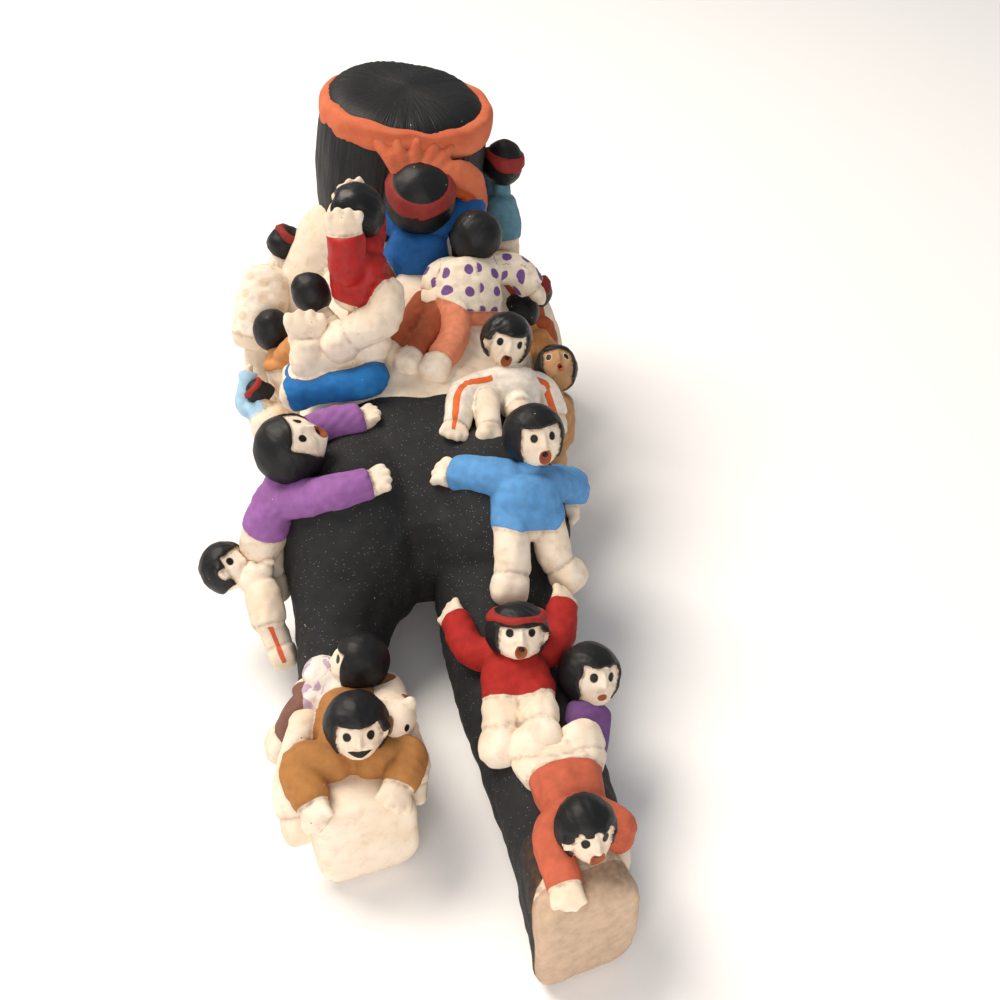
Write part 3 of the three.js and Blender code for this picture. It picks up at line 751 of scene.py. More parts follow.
# %% The surface of a head
def head_shape(d, radius, style):
    """Radius and painted areas of a child's head in directions d, worked out in millimetres on the ball."""
    mm = np.pi / 180 * radius
    across = np.degrees(np.arctan2(d[..., 0], d[..., 1]))
    up = np.degrees(np.arcsin(np.clip(d[..., 2], -1, 1)))
    level = np.cos(np.radians(up))
    x = across * level * mm
    hair = child_hair(across, up, level, mm, style)
    cover = np.clip(hair / 0.6, 0, 1)
    reach = radius * (1 + 0.03 * d[..., 2] ** 2) - HAIR_THICK + HAIR_THICK * np.sqrt(cover * (2 - cover))
    eyes = np.full(across.shape, OUTSIDE)
    # Each eye is a dot that stands out a little in a shallow hollow, over a soft cheek
    for side in (-1, 1):
        eye_x = x - side * style.get("eyes_apart", EYE_ACROSS) * level * mm
        eye_y = (up - EYE_UP) * mm
        eye = 1 - np.hypot(eye_x / 1.05, eye_y / 1.2)
        eyes = np.maximum(eyes, eye)
        reach = reach - 0.35 * hump(eye_x, eye_y, 1.9, 1.7) + 0.12 * np.clip(eye * 3, 0, 1)
        reach = reach + 0.22 * hump(eye_x * 0.8, eye_y + 3.4, 2.2, 1.6)
    # The nose is a ridge with a wider tip
    nose_y = (up + 3) * mm
    reach = reach + 0.8 * hump(x, nose_y - 1.1, 0.75, 1.9) + 0.5 * hump(x, nose_y + 0.2, 1.1, 0.8)
    # The mouth, and the chin under it
    size = style.get("mouth_size", 1.0)
    relief, lips, dark = child_mouth(x, (up - MOUTH_UP) * mm, style.get("mouth", "open"), size)
    reach = reach + relief + 1.4 * hump(x, (up - MOUTH_UP + 15) * mm, 4.2, 2.2)
    # An ear is a lump with a hollow in it
    for side in style.get("ears", ()):
        ear = hump(across - side * 61, up + 2, 9, 15)
        reach = reach + 1.3 * ear - 0.8 * hump(across - side * 57, up + 2, 3.5, 7)
        reach = reach + 0.35 * ear * wander(d * radius, 1.3, 3)
    # Along the edge of the hair and on one side of the nose the colour darkens: some dust, and painted
    # shade under the hair's lip and beside the nose
    dirt = 0.8 * hump(hair + 0.15, 0, 0.3, 1) + 0.3 * hump(x - 1, nose_y + 1.2, 1.2, 0.7)
    # The dark of an open mouth is painted shade of its hole, laid on with the black of the eyes
    marks = {"hair": hair, "eyes": np.maximum(eyes, dark), "rims": eyes + 0.2, "lips": lips, "dirt": dirt}
    if "band" in style:
        low, high = style["band"]
        tilt = up + style.get("band_tilt", 0) * np.cos(np.radians(across)) + 2.5 * np.sin(across / 13)
        band = np.minimum(np.minimum(tilt - low, high - up) * mm, hair + 0.3)
        marks["band"] = band
        reach = reach + 0.55 * np.clip(band / 0.5, 0, 1)
    return reach, marks


def with_poles(marks, pole_marks):
    """The marks of a grid and of its two poles in the order of the skin's points."""
    joined = {}
    for key, value in marks.items():
        ends = pole_marks[key]
        joined[key] = np.concatenate([ends[:1], value.reshape(-1, *ends.shape[1:]), ends[1:]])
    return joined


def child_head(centre, turn, radius, style, around=96, rings=56):
    """A head as a shell with marks: directions times their radius, drawn out, turned and put in place."""
    grid = face_grid(around, rings)
    drawn_out = np.array(style.get("drawn_out", (1, 1, 1)))
    reach, marks = head_shape(grid, radius, style)
    pole_reach, pole_marks = head_shape(POLES, radius, style)
    for depth, grain in ((0.1, 5), (0.05, 1.8)):
        reach = reach + depth * wander(grid * radius, grain, style["seed"])
    rings_out = (grid * reach[..., None] * drawn_out) @ turn.T + centre
    first, last = (POLES * pole_reach[:, None] * drawn_out) @ turn.T + centre
    points, faces = skin(rings_out, first, last)
    return points, faces, with_poles(marks, pole_marks)


sample_head = child_head(np.zeros(3), np.eye(3), 6.8, {"seed": 0})
print("a child's head is", len(sample_head[1]), "triangles")

# %% [markdown]
# ## Where a face looks
#
# The faces are what the eye goes to first, so each one that shows is turned until its eyes and its
# mouth lie where the photograph has them. A line from the camera through such a place meets the head's
# ball at one point. The turn that brings the face's own three points nearest to those three is found by
# a singular value decomposition, which is the usual way to lay one set of directions over another.

# %% Turning a head to the photograph
PICTURE_SIZE = 1000.0  # pixels each way, the frame in which the places of eyes and mouths are given


def picture_ray(place):
    """The direction from the camera through a place in the picture: ahead, plus right and down by the
    place's offset from the middle, on the sensor's scale."""
    pitch, yaw = np.radians([CAMERA_PITCH, CAMERA_YAW])
    ahead = [np.cos(pitch) * np.sin(yaw), np.cos(pitch) * np.cos(yaw), -np.sin(pitch)]
    right, down = (np.array(place) / PICTURE_SIZE - 0.5) * SENSOR / CAMERA_LENS
    return unit(facing(ahead, (0, 0, 1)) @ [right, 1, -down])


def seen_on_ball(place, centre, radius):
    """The direction from a ball's middle to the point where the line through a place first meets it.
    Where the line passes the ball by, it is the direction to the line's nearest point."""
    ray = picture_ray(place)
    offset = np.asarray(centre) - CAMERA_PLACE
    beside = (ray @ offset) * ray - offset
    return unit(beside - np.sqrt(max(radius ** 2 - beside @ beside, 0)) * ray)


def turned_to_picture(seen, centre, radius, style):
    """The axes of a head whose eyes and mouth lie nearest to their places in the picture."""
    apart = style.get("eyes_apart", EYE_ACROSS)
    angles = np.radians([(apart, EYE_UP), (-apart, EYE_UP), (0, MOUTH_UP)])
    across, up = angles.T
    own = np.stack([np.sin(across) * np.cos(up), np.cos(across) * np.cos(up), np.sin(up)], axis=1)
    places = [seen[key] for key in ("right_eye", "left_eye", "mouth")]
    found = np.array([seen_on_ball(place, centre, radius) for place in places])
    left, _, right = np.linalg.svd(found.T @ own)
    right[2] *= np.linalg.det(left @ right)
    return left @ right


print("the middle of the picture lies along", picture_ray([PICTURE_SIZE / 2] * 2).round(2))

# %% [markdown]
# ## Mitts with fingers
#
# A hand is a flat pad of clay with four short rolls for fingers, fanned a little and bent down on to
# what it holds. The rolls are melted with the sleeve, so the grooves between them are soft and hold
# some dirt, with painted shade darkening them too.

# %% Hands
FINGERS = 4


def hand(at, ahead, out, size, fan, curl):
    """A pad and its fingers. `ahead` is where the fingers point and `out` is the back of the hand."""
    turn = facing(ahead, out)
    put = lambda local: np.asarray(local, float) * size @ turn.T + at
    pad = np.array([3.7, 3.3, 2.2]) * size
    shells = [ball(put([0, -0.4, 0]), pad, turn, around=20, rings=12, power=2.6)]
    for share in np.linspace(-1, 1, FINGERS):
        along = np.array([np.sin(np.radians(fan * share)), np.cos(np.radians(fan * share)), 0])
        base = np.array([2.8 * share, 0.6 - 0.4 * share ** 2, 0.5])
        middle = base + 1.7 * along + [0, 0, -0.4 * curl]
        tip = base + (2.9 - 0.5 * share ** 2) * along + [0, 0, -2.6 * curl]
        rows = np.column_stack([put([base, middle, tip]), np.array([1.15, 1.12, 1.05]) * size])
        shells.append(limb(rows, around=10))
    return shells


sample_hand = hand(np.zeros(3), (0, 1, 0), (0, 0, 1), size=1, fan=9, curl=0.3)
print("a hand is", sum(len(faces) for _, faces in sample_hand), "triangles")

# %% [markdown]
# ## The children
#
# Each child is a slab of a trunk in a shirt, two legs like columns with blunt feet, two sleeves with
# mitts, and a head. A pose is a few points in millimetres: hip, chest and head, where the face looks
# and the belly points, an elbow and a hand for each arm, and a knee and toes for each leg. The shirt
# ends at a plane across the hips, at the cuffs and where a bent leg leaves the trunk, and its skin
# stands a little proud of the clay.

# %% A child's sizes
CHILD_HEAD = 13.6 / 2
CHILD_TRUNK = 15 / 2
CHILD_ARM = 6.8 / 2
CHILD_LEG = 8.8 / 2
SLAB = 0.76  # how thick a trunk is, as a share of its width
TAIL = 0.95  # how far a trunk runs on below the hip, as a share of half its width
CHILD_VOXEL = 0.5
CLOTH_REACH = 1.7  # within this of a rolled limb, the melted skin still counts as that limb's shirt
TROUSER_REACH = 1.9  # the same for trousers
FOOT_REACH = 2.6  # the same for a foot, which stands out from its leg
STRIPE_REACH = 1.5  # the same for a stripe
CLOTH_THICK = 0.32  # how far a shirt stands proud
SLEEVE_SHIFT = 7.3  # keeps the dots of a sleeve out of step with those of the trunk


print("a child's head is", 2 * CHILD_HEAD, "mm wide")

# %% Cloth on a limb
def nearest_skin(points, limbs):
    """How far points lie outside the nearest of several limbs."""
    return np.min([past(points, rows)[0] for rows in limbs] or [np.full(len(points), 99.0)], axis=0)


def cloth_place(points, stations, side):
    """Where a point lies on a limb's cloth, in millimetres: round it from its front, and along it."""
    start, end = np.array(stations[0][:3], float), np.array(stations[-1][:3], float)
    along = unit(end - start)
    thick = unit(np.cross(along, side))
    wide = np.cross(along, thick)
    offset = points - past(points, stations)[1][:, :3]
    angle = np.arctan2(offset @ wide, offset @ thick)
    return np.stack([angle * stations[0][3], (points - start) @ along, 0 * angle], axis=1)


def stripe_along(points, stations, faces_to, half):
    """How far points lie inside a stripe that runs along a limb on the side that faces a direction: the
    angle round the limb, times its radius, stays under half the stripe's width."""
    gap, rows, along = past(points, stations)
    square = lambda vectors: unit(vectors - (vectors * along).sum(axis=1, keepdims=True) * along + 1e-9)
    cosine = (square(points - rows[:, :3]) * square(np.array(faces_to) + 0 * along)).sum(axis=1)
    inside = half - np.arccos(np.clip(cosine, -1, 1)) * rows[:, 3]
    return np.where(gap < STRIPE_REACH, inside, OUTSIDE)


# %% Trunk, legs and arms
def child_trunk(pose):
    """The rows of a trunk from the chest to the hip, its width axis and the direction up it."""
    hip, chest = (np.array(pose[key], float) for key in ("hip", "chest"))
    radius = CHILD_TRUNK * pose.get("size", 1.0) * pose.get("stout", 1.0)
    spine = unit(chest - hip)
    side = unit(np.cross(pose["front"], spine))
    rows = [(*chest, radius * 0.88), (*((hip + chest) / 2), radius), (*hip, radius)]
    return rows, side, spine


def child_legs(pose, side, spine):
    """The rows of each leg, a column from beside the hip over the knee to the toes, and its foot."""
    radius = CHILD_LEG * pose.get("size", 1.0) * pose.get("thigh", 1.0)
    hip = np.array(pose["hip"], float)
    legs, feet = [], []
    for knee, toes in pose.get("legs", ()):
        knee, toes = np.array(knee, float), np.array(toes, float)
        start = hip + side * ((knee - hip) @ side) * 0.7 + unit(knee - hip) * radius * 0.2
        shin = unit(toes - knee)
        ankle = toes - shin * radius * 0.5
        legs.append([(*start, radius * 1.04), (*knee, radius), (*ankle, radius * 0.96)])
        out = away_from_body(toes)
        turn = facing(shin, out if abs(np.dot(out, shin)) < 0.9 else spine)
        feet.append(ball(toes, np.array([1.04, 0.98, 0.96]) * radius, turn, power=3))
    return legs, feet


def child_arms(pose):
    """The rows of each sleeve, from the shoulder over the elbow to the cuff, and its hand's shells."""
    size = pose.get("size", 1.0)
    radius = CHILD_ARM * size * pose.get("sleeve", 1.0)
    palm_size = size * pose.get("palm", 1.0)
    chest = np.array(pose["chest"], float)
    sleeves, hands = [], []
    for elbow, palm in pose.get("arms", ()):
        elbow, palm = np.array(elbow, float), np.array(palm, float)
        shoulder = chest + unit(elbow - chest) * CHILD_TRUNK * size * pose.get("stout", 1.0) * 0.5
        fore = unit(palm - elbow)
        cuff = palm - fore * 2.5 * palm_size
        sleeves.append([(*shoulder, radius * 1.12), (*elbow, radius * 1.05), (*cuff, radius)])
        out = pose.get("palm_out", away_from_body(palm))
        ahead = unit(fore - np.dot(fore, out) * np.array(out) * 0.8)
        hands += hand(palm, ahead, out, palm_size, pose.get("fan", 9.0), pose.get("curl", 0.3))
    return sleeves, hands


# %% Shirt, trousers, dust and painted shade
def dressed(points, hollows, pose, trunk, legs, sleeves):
    """The painted areas of a child's body, and how far its skin stands proud, both from the distances
    to trunk, legs and sleeves."""
    rows, _, spine = trunk
    tail = pose.get("tail", 0.55) * rows[-1][3]
    near_trunk = past(points, rows)[0]
    near_leg = nearest_skin(points, legs)
    bent = [leg for leg in legs if unit(np.subtract(leg[1], leg[0])[:3]) @ spine > -0.7]
    near_bent = nearest_skin(points, bent)
    shirt = np.minimum(points @ spine - np.array(pose["hip"]) @ spine + tail, CLOTH_REACH - near_trunk)
    shirt = np.minimum(shirt, near_bent - near_trunk + 1)
    for sleeve in sleeves:
        gap = past(points, sleeve)[0]
        end = np.array(sleeve[-1][:3])
        along = unit(end - np.array(sleeve[-2][:3]))
        on_sleeve = np.minimum(CLOTH_REACH - gap, near_leg - gap + 1)
        shirt = np.maximum(shirt, np.minimum(on_sleeve, (end - points) @ along + 0.3 * sleeve[-1][3]))
    ankle = np.full(len(points), OUTSIDE)
    for leg in legs:
        end = np.array(leg[-1][:3])
        shin = unit(end - np.array(leg[-2][:3]))
        own = past(points, leg)[0] < FOOT_REACH
        ankle = np.maximum(ankle, np.where(own, (points - end) @ shin + 0.25 * leg[-1][3], OUTSIDE))
    if pose.get("feet_covered"):
        ankle[:] = OUTSIDE
    trousers = TROUSER_REACH - np.minimum(near_leg, near_trunk)
    trousers = np.minimum(np.minimum(trousers, -shirt), -ankle)
    proud = CLOTH_THICK * np.clip(shirt / 0.4 + 0.5, 0, 1) - 0.28 * hump(ankle, 0, 0.45, 1)
    # Dust and painted shade darken the hollows, the strip just under the proud hem of the shirt and the
    # groove at the ankle
    dirt = 0.75 * hollows * (0.45 + 0.55 * (shirt < 0)) + 0.5 * hump(shirt + 0.35, 0, 0.4, 1)
    dirt = dirt + 0.45 * hump(ankle, 0, 0.4, 1)
    return {"shirt": shirt, "trousers": trousers, "dirt": np.clip(dirt, 0, 0.9)}, proud


# %% One whole child
def child(name, pose, material, seed):
    """All the shells of one child, put together as one piece."""
    chest, head = (np.array(pose[key], float) for key in ("chest", "head"))
    trunk = child_trunk(pose)
    rows, side, spine = trunk
    legs, feet = child_legs(pose, side, spine)
    sleeves, hands = child_arms(pose)
    shells = [limb(rows, around=28, flat=SLAB, side=side, ends=((0.4, 0.6), (TAIL, 0.3)), square=0.8)]
    shells.append(limb([(*chest, 3.2), (*head, 1.6)], around=14))
    shells += [limb(leg, around=20) for leg in legs] + feet
    shells += [limb(sleeve, around=20, ends=((0.8, 1), (0.3, 0.4))) for sleeve in sleeves] + hands
    points, faces, hollows = body_of_clay(shells, CHILD_VOXEL, seed)
    marks, proud = dressed(points, hollows, pose, trunk, legs, sleeves)
    points = points + normals(points, faces) * proud[:, None]
    points[:, 2] = np.maximum(points[:, 2], 0)
    if "stripe" in pose:
        limbs = [leg[1:] for leg in legs] if pose.get("stripe_on") == "shins" else sleeves
        lines = [stripe_along(points, each, pose["stripe"], pose["stripe_half"]) for each in limbs]
        on_limb = past(points, rows)[0] + 1 - nearest_skin(points, limbs)
        marks["stripe"] = np.minimum(np.max(lines, axis=0), on_limb)
    if "dots" in pose:
        weave = cloth_place(points, rows, side)
        for sleeve in sleeves:
            own = past(points, sleeve)[0] < past(points, rows)[0]
            weave[own] = cloth_place(points[own], sleeve, side) + SLEEVE_SHIFT
        marks["weave"] = weave
    style = {"seed": seed, **pose.get("style", {})}
    radius = CHILD_HEAD * pose.get("head_size", 1.0)
    if "seen" in pose:
        turn = turned_to_picture(pose["seen"], head, radius - HAIR_THICK, style)
    else:
        turn = facing(pose["face"], pose.get("crown", head - chest))
    clay_piece(name, [(points, faces, marks), child_head(head, turn, radius, style)], material)

# %% [markdown]
# ## Who climbs where
#
# The poses run from the storyteller's feet to the head. Beside the pose stand the colours of the shirt
# and the trousers, where they aren't cream, and how the head is dressed. `seen` is where the photograph
# has the child's own right eye, left eye and mouth, in pixels from the left and from the top.

# %% The crowd
CROWD = {
    "over_left_foot": dict(
        hip=(-20.5, -79, 26), chest=(-20.5, -90, 26), head=(-19, -88.5, 35.5), front=(0, -0.3, -1),
        seen=dict(right_eye=(347, 735), left_eye=(371, 730), mouth=(358, 753)), head_size=1.02, sleeve=1.15,
        arms=[((-31.5, -91.5, 27), (-28.5, -101.5, 24.5)), ((-9, -91.5, 27), (-11.5, -100, 26))], fan=15,
        legs=[((-34.5, -92, 20), (-33, -98, 14)), ((-8, -89.5, 22), (-8.5, -91.5, 16))], thigh=0.85,
        shirt="#ab7641", style=dict(mouth="smile", ears=(-1,), eyes_apart=25, wave=0.05),
    ),
    "on_left_leg": dict(
        hip=(-25, -73.5, 23), chest=(-22.5, -71, 27), head=(-18, -69.5, 33.5), face=(-0.93, 0.15, 0.1),
        front=(-0.7, -0.3, 0.5), stout=0.85, head_size=0.95,
        arms=[((-27, -67.5, 29), (-30, -70, 26))],
        legs=[((-31.5, -73, 22), (-37, -74.5, 13))],
        trousers="#7d584c", shirt="#e9dfd6", dots="#b9a3b6",
    ),
    "over_right_foot": dict(
        hip=(23, -98.5, 27), chest=(24, -108, 29), head=(24.5, -118, 35.5), front=(0, -0.2, -1), tail=-0.4,
        seen=dict(right_eye=(584, 843), left_eye=(607, 837.5), mouth=(598, 857)), head_size=0.9, palm=0.9,
        arms=[((18.5, -116, 29.5), (19.5, -127.5, 28)), ((32, -114, 27.5), (29.5, -116, 23.5))],
        legs=[((17, -96, 27), (17.5, -93, 28)), ((28.5, -96, 28), (28, -93, 29))], stout=0.95,
        shirt="#bd5f45", style=dict(ears=(1,), eyes_apart=25, chipped=0.9, fringe=-4),
    ),
    "beside_right_leg": dict(
        hip=(29.5, -88, 22), chest=(31.5, -82, 25), head=(32.5, -75.5, 30), front=(0.5, 0, 1), stout=0.72,
        seen=dict(right_eye=(593, 678), left_eye=(613, 676), mouth=(600, 695.5)), head_size=1.05,
        shirt="#6f4a80", style=dict(mouth="small", eyes_apart=22, wave=0.3),
    ),
    "on_right_leg": dict(
        hip=(16, -76, 29), chest=(16.5, -71.5, 31), head=(17, -68.5, 38.5), front=(0, -0.3, 1),
        seen=dict(right_eye=(508.6, 634.2), left_eye=(533.7, 632.8), mouth=(520, 648)), head_size=1.0,
        arms=[((7, -64.5, 29), (3.5, -52.5, 28)), ((26.5, -65.5, 30), (30, -53, 31))], palm=0.92,
        legs=[((12, -84.5, 28), (11, -90.5, 26)), ((20, -86, 30), (19.5, -91.5, 29))],
        shirt="#a3231d",
        style=dict(ears=(-1,), eyes_apart=25, mouth_size=0.85, fringe=-8, drawn_out=(1.05, 1, 0.93),
                   band=(23, 45), band_code="#9c2a22", band_tilt=-9),
    ),
    "on_right_hip": dict(
        hip=(23, -33.5, 44), chest=(23.5, -30.5, 49), head=(26, -23.5, 58.5), front=(0.25, -0.8, 0.5),
        seen=dict(right_eye=(533, 438), left_eye=(553, 435), mouth=(544, 455)), head_size=1.12, stout=1.08,
        arms=[((15, -27.5, 50), (5.5, -22, 47.5)), ((37, -18, 37.5), (36.5, -21, 32.5))],
        sleeve=1.25, curl=0.7,
        legs=[((18.5, -45.5, 38), (17.5, -50.5, 34)), ((29.5, -41.5, 35), (32.5, -44.5, 31))], palm=1.05,
        shirt="#5b95cb", style=dict(eyes_apart=21, mouth_size=1.05),
    ),
    "round_left_hip": dict(
        hip=(-41.5, -22, 32), chest=(-38, -22, 42), head=(-33, -17, 54), front=(0.8, -0.2, 0.3),
        seen=dict(right_eye=(302.5, 438.6), left_eye=(295.2, 419.8), mouth=(318.4, 434.4)), head_size=1.3,
        arms=[((-24.5, -28, 48), (-12.7, -25.5, 49)), ((-28, -6.5, 51), (-14.5, -1.5, 51))],
        sleeve=1.2, tail=-0.45,
        legs=[((-42, -24.5, 24), (-41, -27.5, 18))],
        shirt="#9662a2", style=dict(eyes_apart=21, hair_end=-58, mouth_size=1.2),
    ),
    "hanging_left": dict(
        hip=(-42, -38.5, 20), chest=(-43, -34, 24), head=(-52, -27.5, 26), front=(0.6, 0, -0.6), stout=0.66,
        seen=dict(right_eye=(224.5, 562.6), left_eye=(243.2, 549.2), mouth=(246, 571)), head_size=0.97,
        arms=[((-45, -30.5, 25), (-42, -29, 27))], curl=0.8, palm=0.85,
        legs=[((-40.5, -41.5, 16), (-38.5, -46, 12))], thigh=0.8,
        stripe=(0, -0.7, 0.7), stripe_half=0.6, stripe_on="shins", stripe_code="#d9633a",
        style=dict(mouth="small", ears=(1,), eyes_apart=30),
    ),
    "over_right_waist": dict(
        hip=(23.5, 10, 48), chest=(23.5, 12, 51.5), head=(24, 17.5, 60.5), front=(0, -1, -0.3), stout=1.15,
        seen=dict(right_eye=(499, 341), left_eye=(521, 346), mouth=(507, 357)), head_size=1.03,
        arms=[((11.5, 5, 52), (8, -9, 51)), ((34, 14, 45.5), (37, 6.5, 40))], palm=0.95,
        legs=[((17, 0, 52), (16.5, -11.5, 50)), ((25.5, 3, 49), (25, -4.5, 48))], thigh=0.75,
        shirt="#efe4d6", stripe=(-0.2, -0.6, 0.8), stripe_half=0.85, stripe_code="#dc6a35", gloss=True,
        style=dict(ears=(1,), eyes_apart=28, mouth_size=0.95),
    ),
    "kneeling": dict(
        hip=(-19.5, 19, 53), chest=(-19, 19, 60), head=(-27, 28.5, 71), face=(-0.3, 0.95, 0),
        arms=[((-28.5, 14.5, 58), (-28.5, 17.5, 66.5)), ((-11.5, 17, 61), (-12, 22.5, 66))],
        front=(0, 1, 0.2), palm=1.35, sleeve=1.25,
        legs=[((-13, 9.5, 55), (-32.5, 11, 51.5)), ((-21, 15, 55), (-32, 16, 52))], head_size=0.8,
        palm_out=(0, -0.9, 0.4), stout=1.05, tail=0.2, trousers="#1f6dae", feet_covered=True,
        style=dict(drawn_out=(0.95, 1, 1.05)),
    ),
    "riding": dict(
        hip=(-14, 25, 75), chest=(-13, 26, 81), head=(-13.5, 33.5, 91), face=(-0.9, 0.35, 0),
        front=(-0.5, -0.8, 0), head_size=1.1,
        arms=[((-16.5, 22, 82), (-16.5, 23.5, 92)), ((-11, 42, 85.5), (-14, 39, 92.5))], curl=0.1, palm=1.2,
        legs=[((-8.5, 15.5, 70.5), (-20, 15.5, 63.5))], thigh=1.15, palm_out=(0, -0.9, 0.4), sleeve=1.35,
        shirt="#a81f1d", gloss=True,
    ),
    "dotted": dict(
        hip=(16, 41.5, 60), chest=(16, 46, 66), head=(19, 50.5, 74), face=(0.75, 0.25, -0.6),
        front=(0.3, -0.9, 0.2), stout=1.2, crown=(-0.1, -0.6, 0.8), head_size=1.06,
        arms=[((8.5, 47, 64), (5, 44, 59)), ((30, 50, 63), (36, 47, 57))],
        legs=[((11, 27, 57.5), (4.5, 14.5, 54))], thigh=0.95, sleeve=1.2,
        shirt="#eadcc6", trousers="#e08a68", dots="#74508c", style=dict(hair_end=-62),
    ),
    "under_dotted": dict(
        hip=(9.5, 40.5, 59), chest=(12.5, 50, 62), head=(17, 60, 66),
        face=(-0.3, 0.9, 0.3), front=(0, 0, -1),
        legs=[((0, 36.5, 57), (-8, 21.5, 55)), ((5.5, 32, 57), (-2.5, 17.5, 55))], thigh=0.82, stout=0.8,
        # These brown trousers are painted shade: the dotted child's salmon paint, darkened where it lies in
        # shadow
        trousers="#9c4f30",
    ),
    "under_arm": dict(
        hip=(39, 42, 33), chest=(35, 46, 41), head=(32, 51.5, 48),
        face=(-0.3, 0.9, 0.2), front=(-1, 0, -0.3),
        arms=[((33, 38, 42), (30, 32, 44))], head_size=0.84,
        legs=[((39, 36, 25), (38, 33, 18))],
        shirt="#c9884e",
    ),
    "right_flank": dict(
        hip=(37, 20, 27), chest=(37.5, 22, 35), head=(39, 25.5, 44.5), front=(0.6, -0.6, 0.3),
        seen=dict(right_eye=(546, 356), left_eye=(568, 355), mouth=(560, 371)), head_size=0.95,
        arms=[((38.5, 14.5, 38), (37.5, 8.5, 37))],
        # The tan of this child's clay and the dark tan of its shirt are painted shade: it sits low on the
        # right flank, out of the light
        legs=[((37, 14, 21), (37, 13, 12))], shirt="#b98a5b", clay=("#c39c74", "#a87c55"),
        style=dict(eyes_apart=30, mouth_size=0.6, drawn_out=(0.95, 1, 1.07)),
    ),
    "right_shoulder": dict(
        hip=(38.5, 58, 30), chest=(38.5, 61.5, 37), head=(37.5, 67, 46), face=(0.5, 0.8, 0.2),
        front=(-1, 0, -0.2), head_size=0.88,
        arms=[((30, 64, 50), (22, 66, 58))],
        legs=[((38, 50, 23), (38, 47, 15))],
        shirt="#a8502d", style=dict(band=(-10, 30), band_tilt=-10, band_code="#7d2621"),
    ),
    "beside_head": dict(
        hip=(30.5, 87, 58), chest=(30, 89.5, 65), head=(31, 92, 77), face=(-0.4, 0.9, 0.1),
        front=(-0.9, 0.3, 0), size=0.88,
        arms=[((28, 95.5, 70), (24, 101.5, 74))], head_size=0.95,
        legs=[((32, 86.5, 50), (32, 86.5, 43))],
        shirt="#5f8c9e",
        style=dict(band=(12, 33), band_tilt=-16, band_code="#8c2a25", drawn_out=(0.95, 1, 1.07)),
    ),
    "behind_neck": dict(
        hip=(2, 60, 61), chest=(3, 60, 69), head=(4, 62, 81), face=(0.1, 0.9, 0.45), front=(0, 1, 0),
        crown=(0.05, -0.45, 0.9), size=1.2, head_size=1.5,
        arms=[((-9.5, 72.5, 76), (-5.5, 78.5, 83)), ((19, 69.5, 74), (16, 72.5, 79))], palm=0.9,
        legs=[((-8, 54, 60), (-11, 46, 58)), ((8, 54, 60), (10, 46, 58))], thigh=0.8,
        shirt="#1e5d9f", trousers="#6e3a2a", style=dict(band=(16, 42), band_code="#8c2f2a"),
    ),
    "left_shoulder": dict(
        hip=(-46.5, 73, 38), chest=(-43, 79, 48), head=(-37.5, 85, 57), face=(-0.3, 0.95, 0.1),
        front=(1, 0, 0.2), size=0.9, stout=1.6, head_size=0.8,
        arms=[((-48, 81, 40), (-47.5, 74, 33))],
        legs=[((-47.5, 68, 23), (-47, 58, 13))], thigh=1.6,
        shirt="#eee1d0", dots="#e3d1b7", style=dict(band=(24, 50), band_code="#8c2a25"),
    ),
    "left_flank_upper": dict(
        hip=(-38, 52, 24), chest=(-41, 55, 33), head=(-42.5, 60.5, 41),
        face=(-0.3, 0.9, 0.2), front=(1, 0, 0.2),
        arms=[((-33, 50, 44), (-28, 46, 51))], head_size=0.9,
        legs=[((-39, 45, 18), (-37, 42, 11))],
        shirt="#cf9058", size=0.9, tail=-1.4, style=dict(drawn_out=(0.93, 1, 1.1)),
    ),
    "left_flank_lower": dict(
        hip=(-43, 37, 19), chest=(-45, 38.5, 25), head=(-47, 44, 30),
        face=(0.4, 0.9, 0.2), front=(1, 0, 0.2), tail=-3,
        arms=[((-51.5, 43.5, 26), (-50, 50.5, 33.5))], head_size=0.58, palm=0.5, sleeve=0.75, curl=0.8,
        legs=[((-39.5, 27.5, 16), (-36.5, 22, 10))],
        shirt="#a5cae2", style=dict(band=(24, 50), band_code="#9a2f28"),
    ),
}


print(len(CROWD), "children")

# %% What the children are painted with
CLOTH_MATTE = 0.82  # roughness
DOT_SPACING = 5.8
DOT_RADIUS = 1.45


def child_finish(name, pose):
    """The finish of one child: trousers, shirt and stripe where they have a colour, hair, band and face."""
    coats = []
    if "trousers" in pose:
        coats.append(("trousers", pose["trousers"], CLOTH_MATTE))
    if "shirt" in pose:
        coats.append(("shirt", pose["shirt"], 0.5 if pose.get("gloss") else CLOTH_MATTE))
    if "stripe" in pose:
        coats.append(("stripe", pose["stripe_code"], 0.7))
    coats.append(("hair", HAIR, 0.36 if pose.get("gloss") else 0.5))
    if "band" in pose.get("style", {}):
        coats.append(("band", pose["style"]["band_code"], 0.7))
    coats += [("rims", EYE_RIM, 0.8), ("lips", LIP_BROWN, 0.7), ("eyes", EYE_BLACK, 0.45)]
    dots = ("shirt", pose["dots"], DOT_SPACING, DOT_RADIUS) if "dots" in pose else None
    # A pose may bring its own clay colours; those of the right flank child are painted shade
    base, shade = pose.get("clay", (CREAM, CREAM_SHADE))
    return painted_clay("painted_clay_" + name, coats, dots=dots, base=base, shade=shade)


for seed, (name, pose) in enumerate(CROWD.items()):
    child("child_" + name, pose, child_finish(name, pose), seed * 7 + 11)

# %% [markdown]
# ## The storyteller's head
#
# The photograph shows only the back of the head: a flat broad crown, black hair combed down to the
# neck, and a headband. The face on the far side is a plain one of this kind of figure: eyes closed,
# mouth open to sing, and a round spot of red on each cheek. It is the same sort of surface as a child's
# head, only squarer, and its marks are drawn as curves in millimetres on the ball.

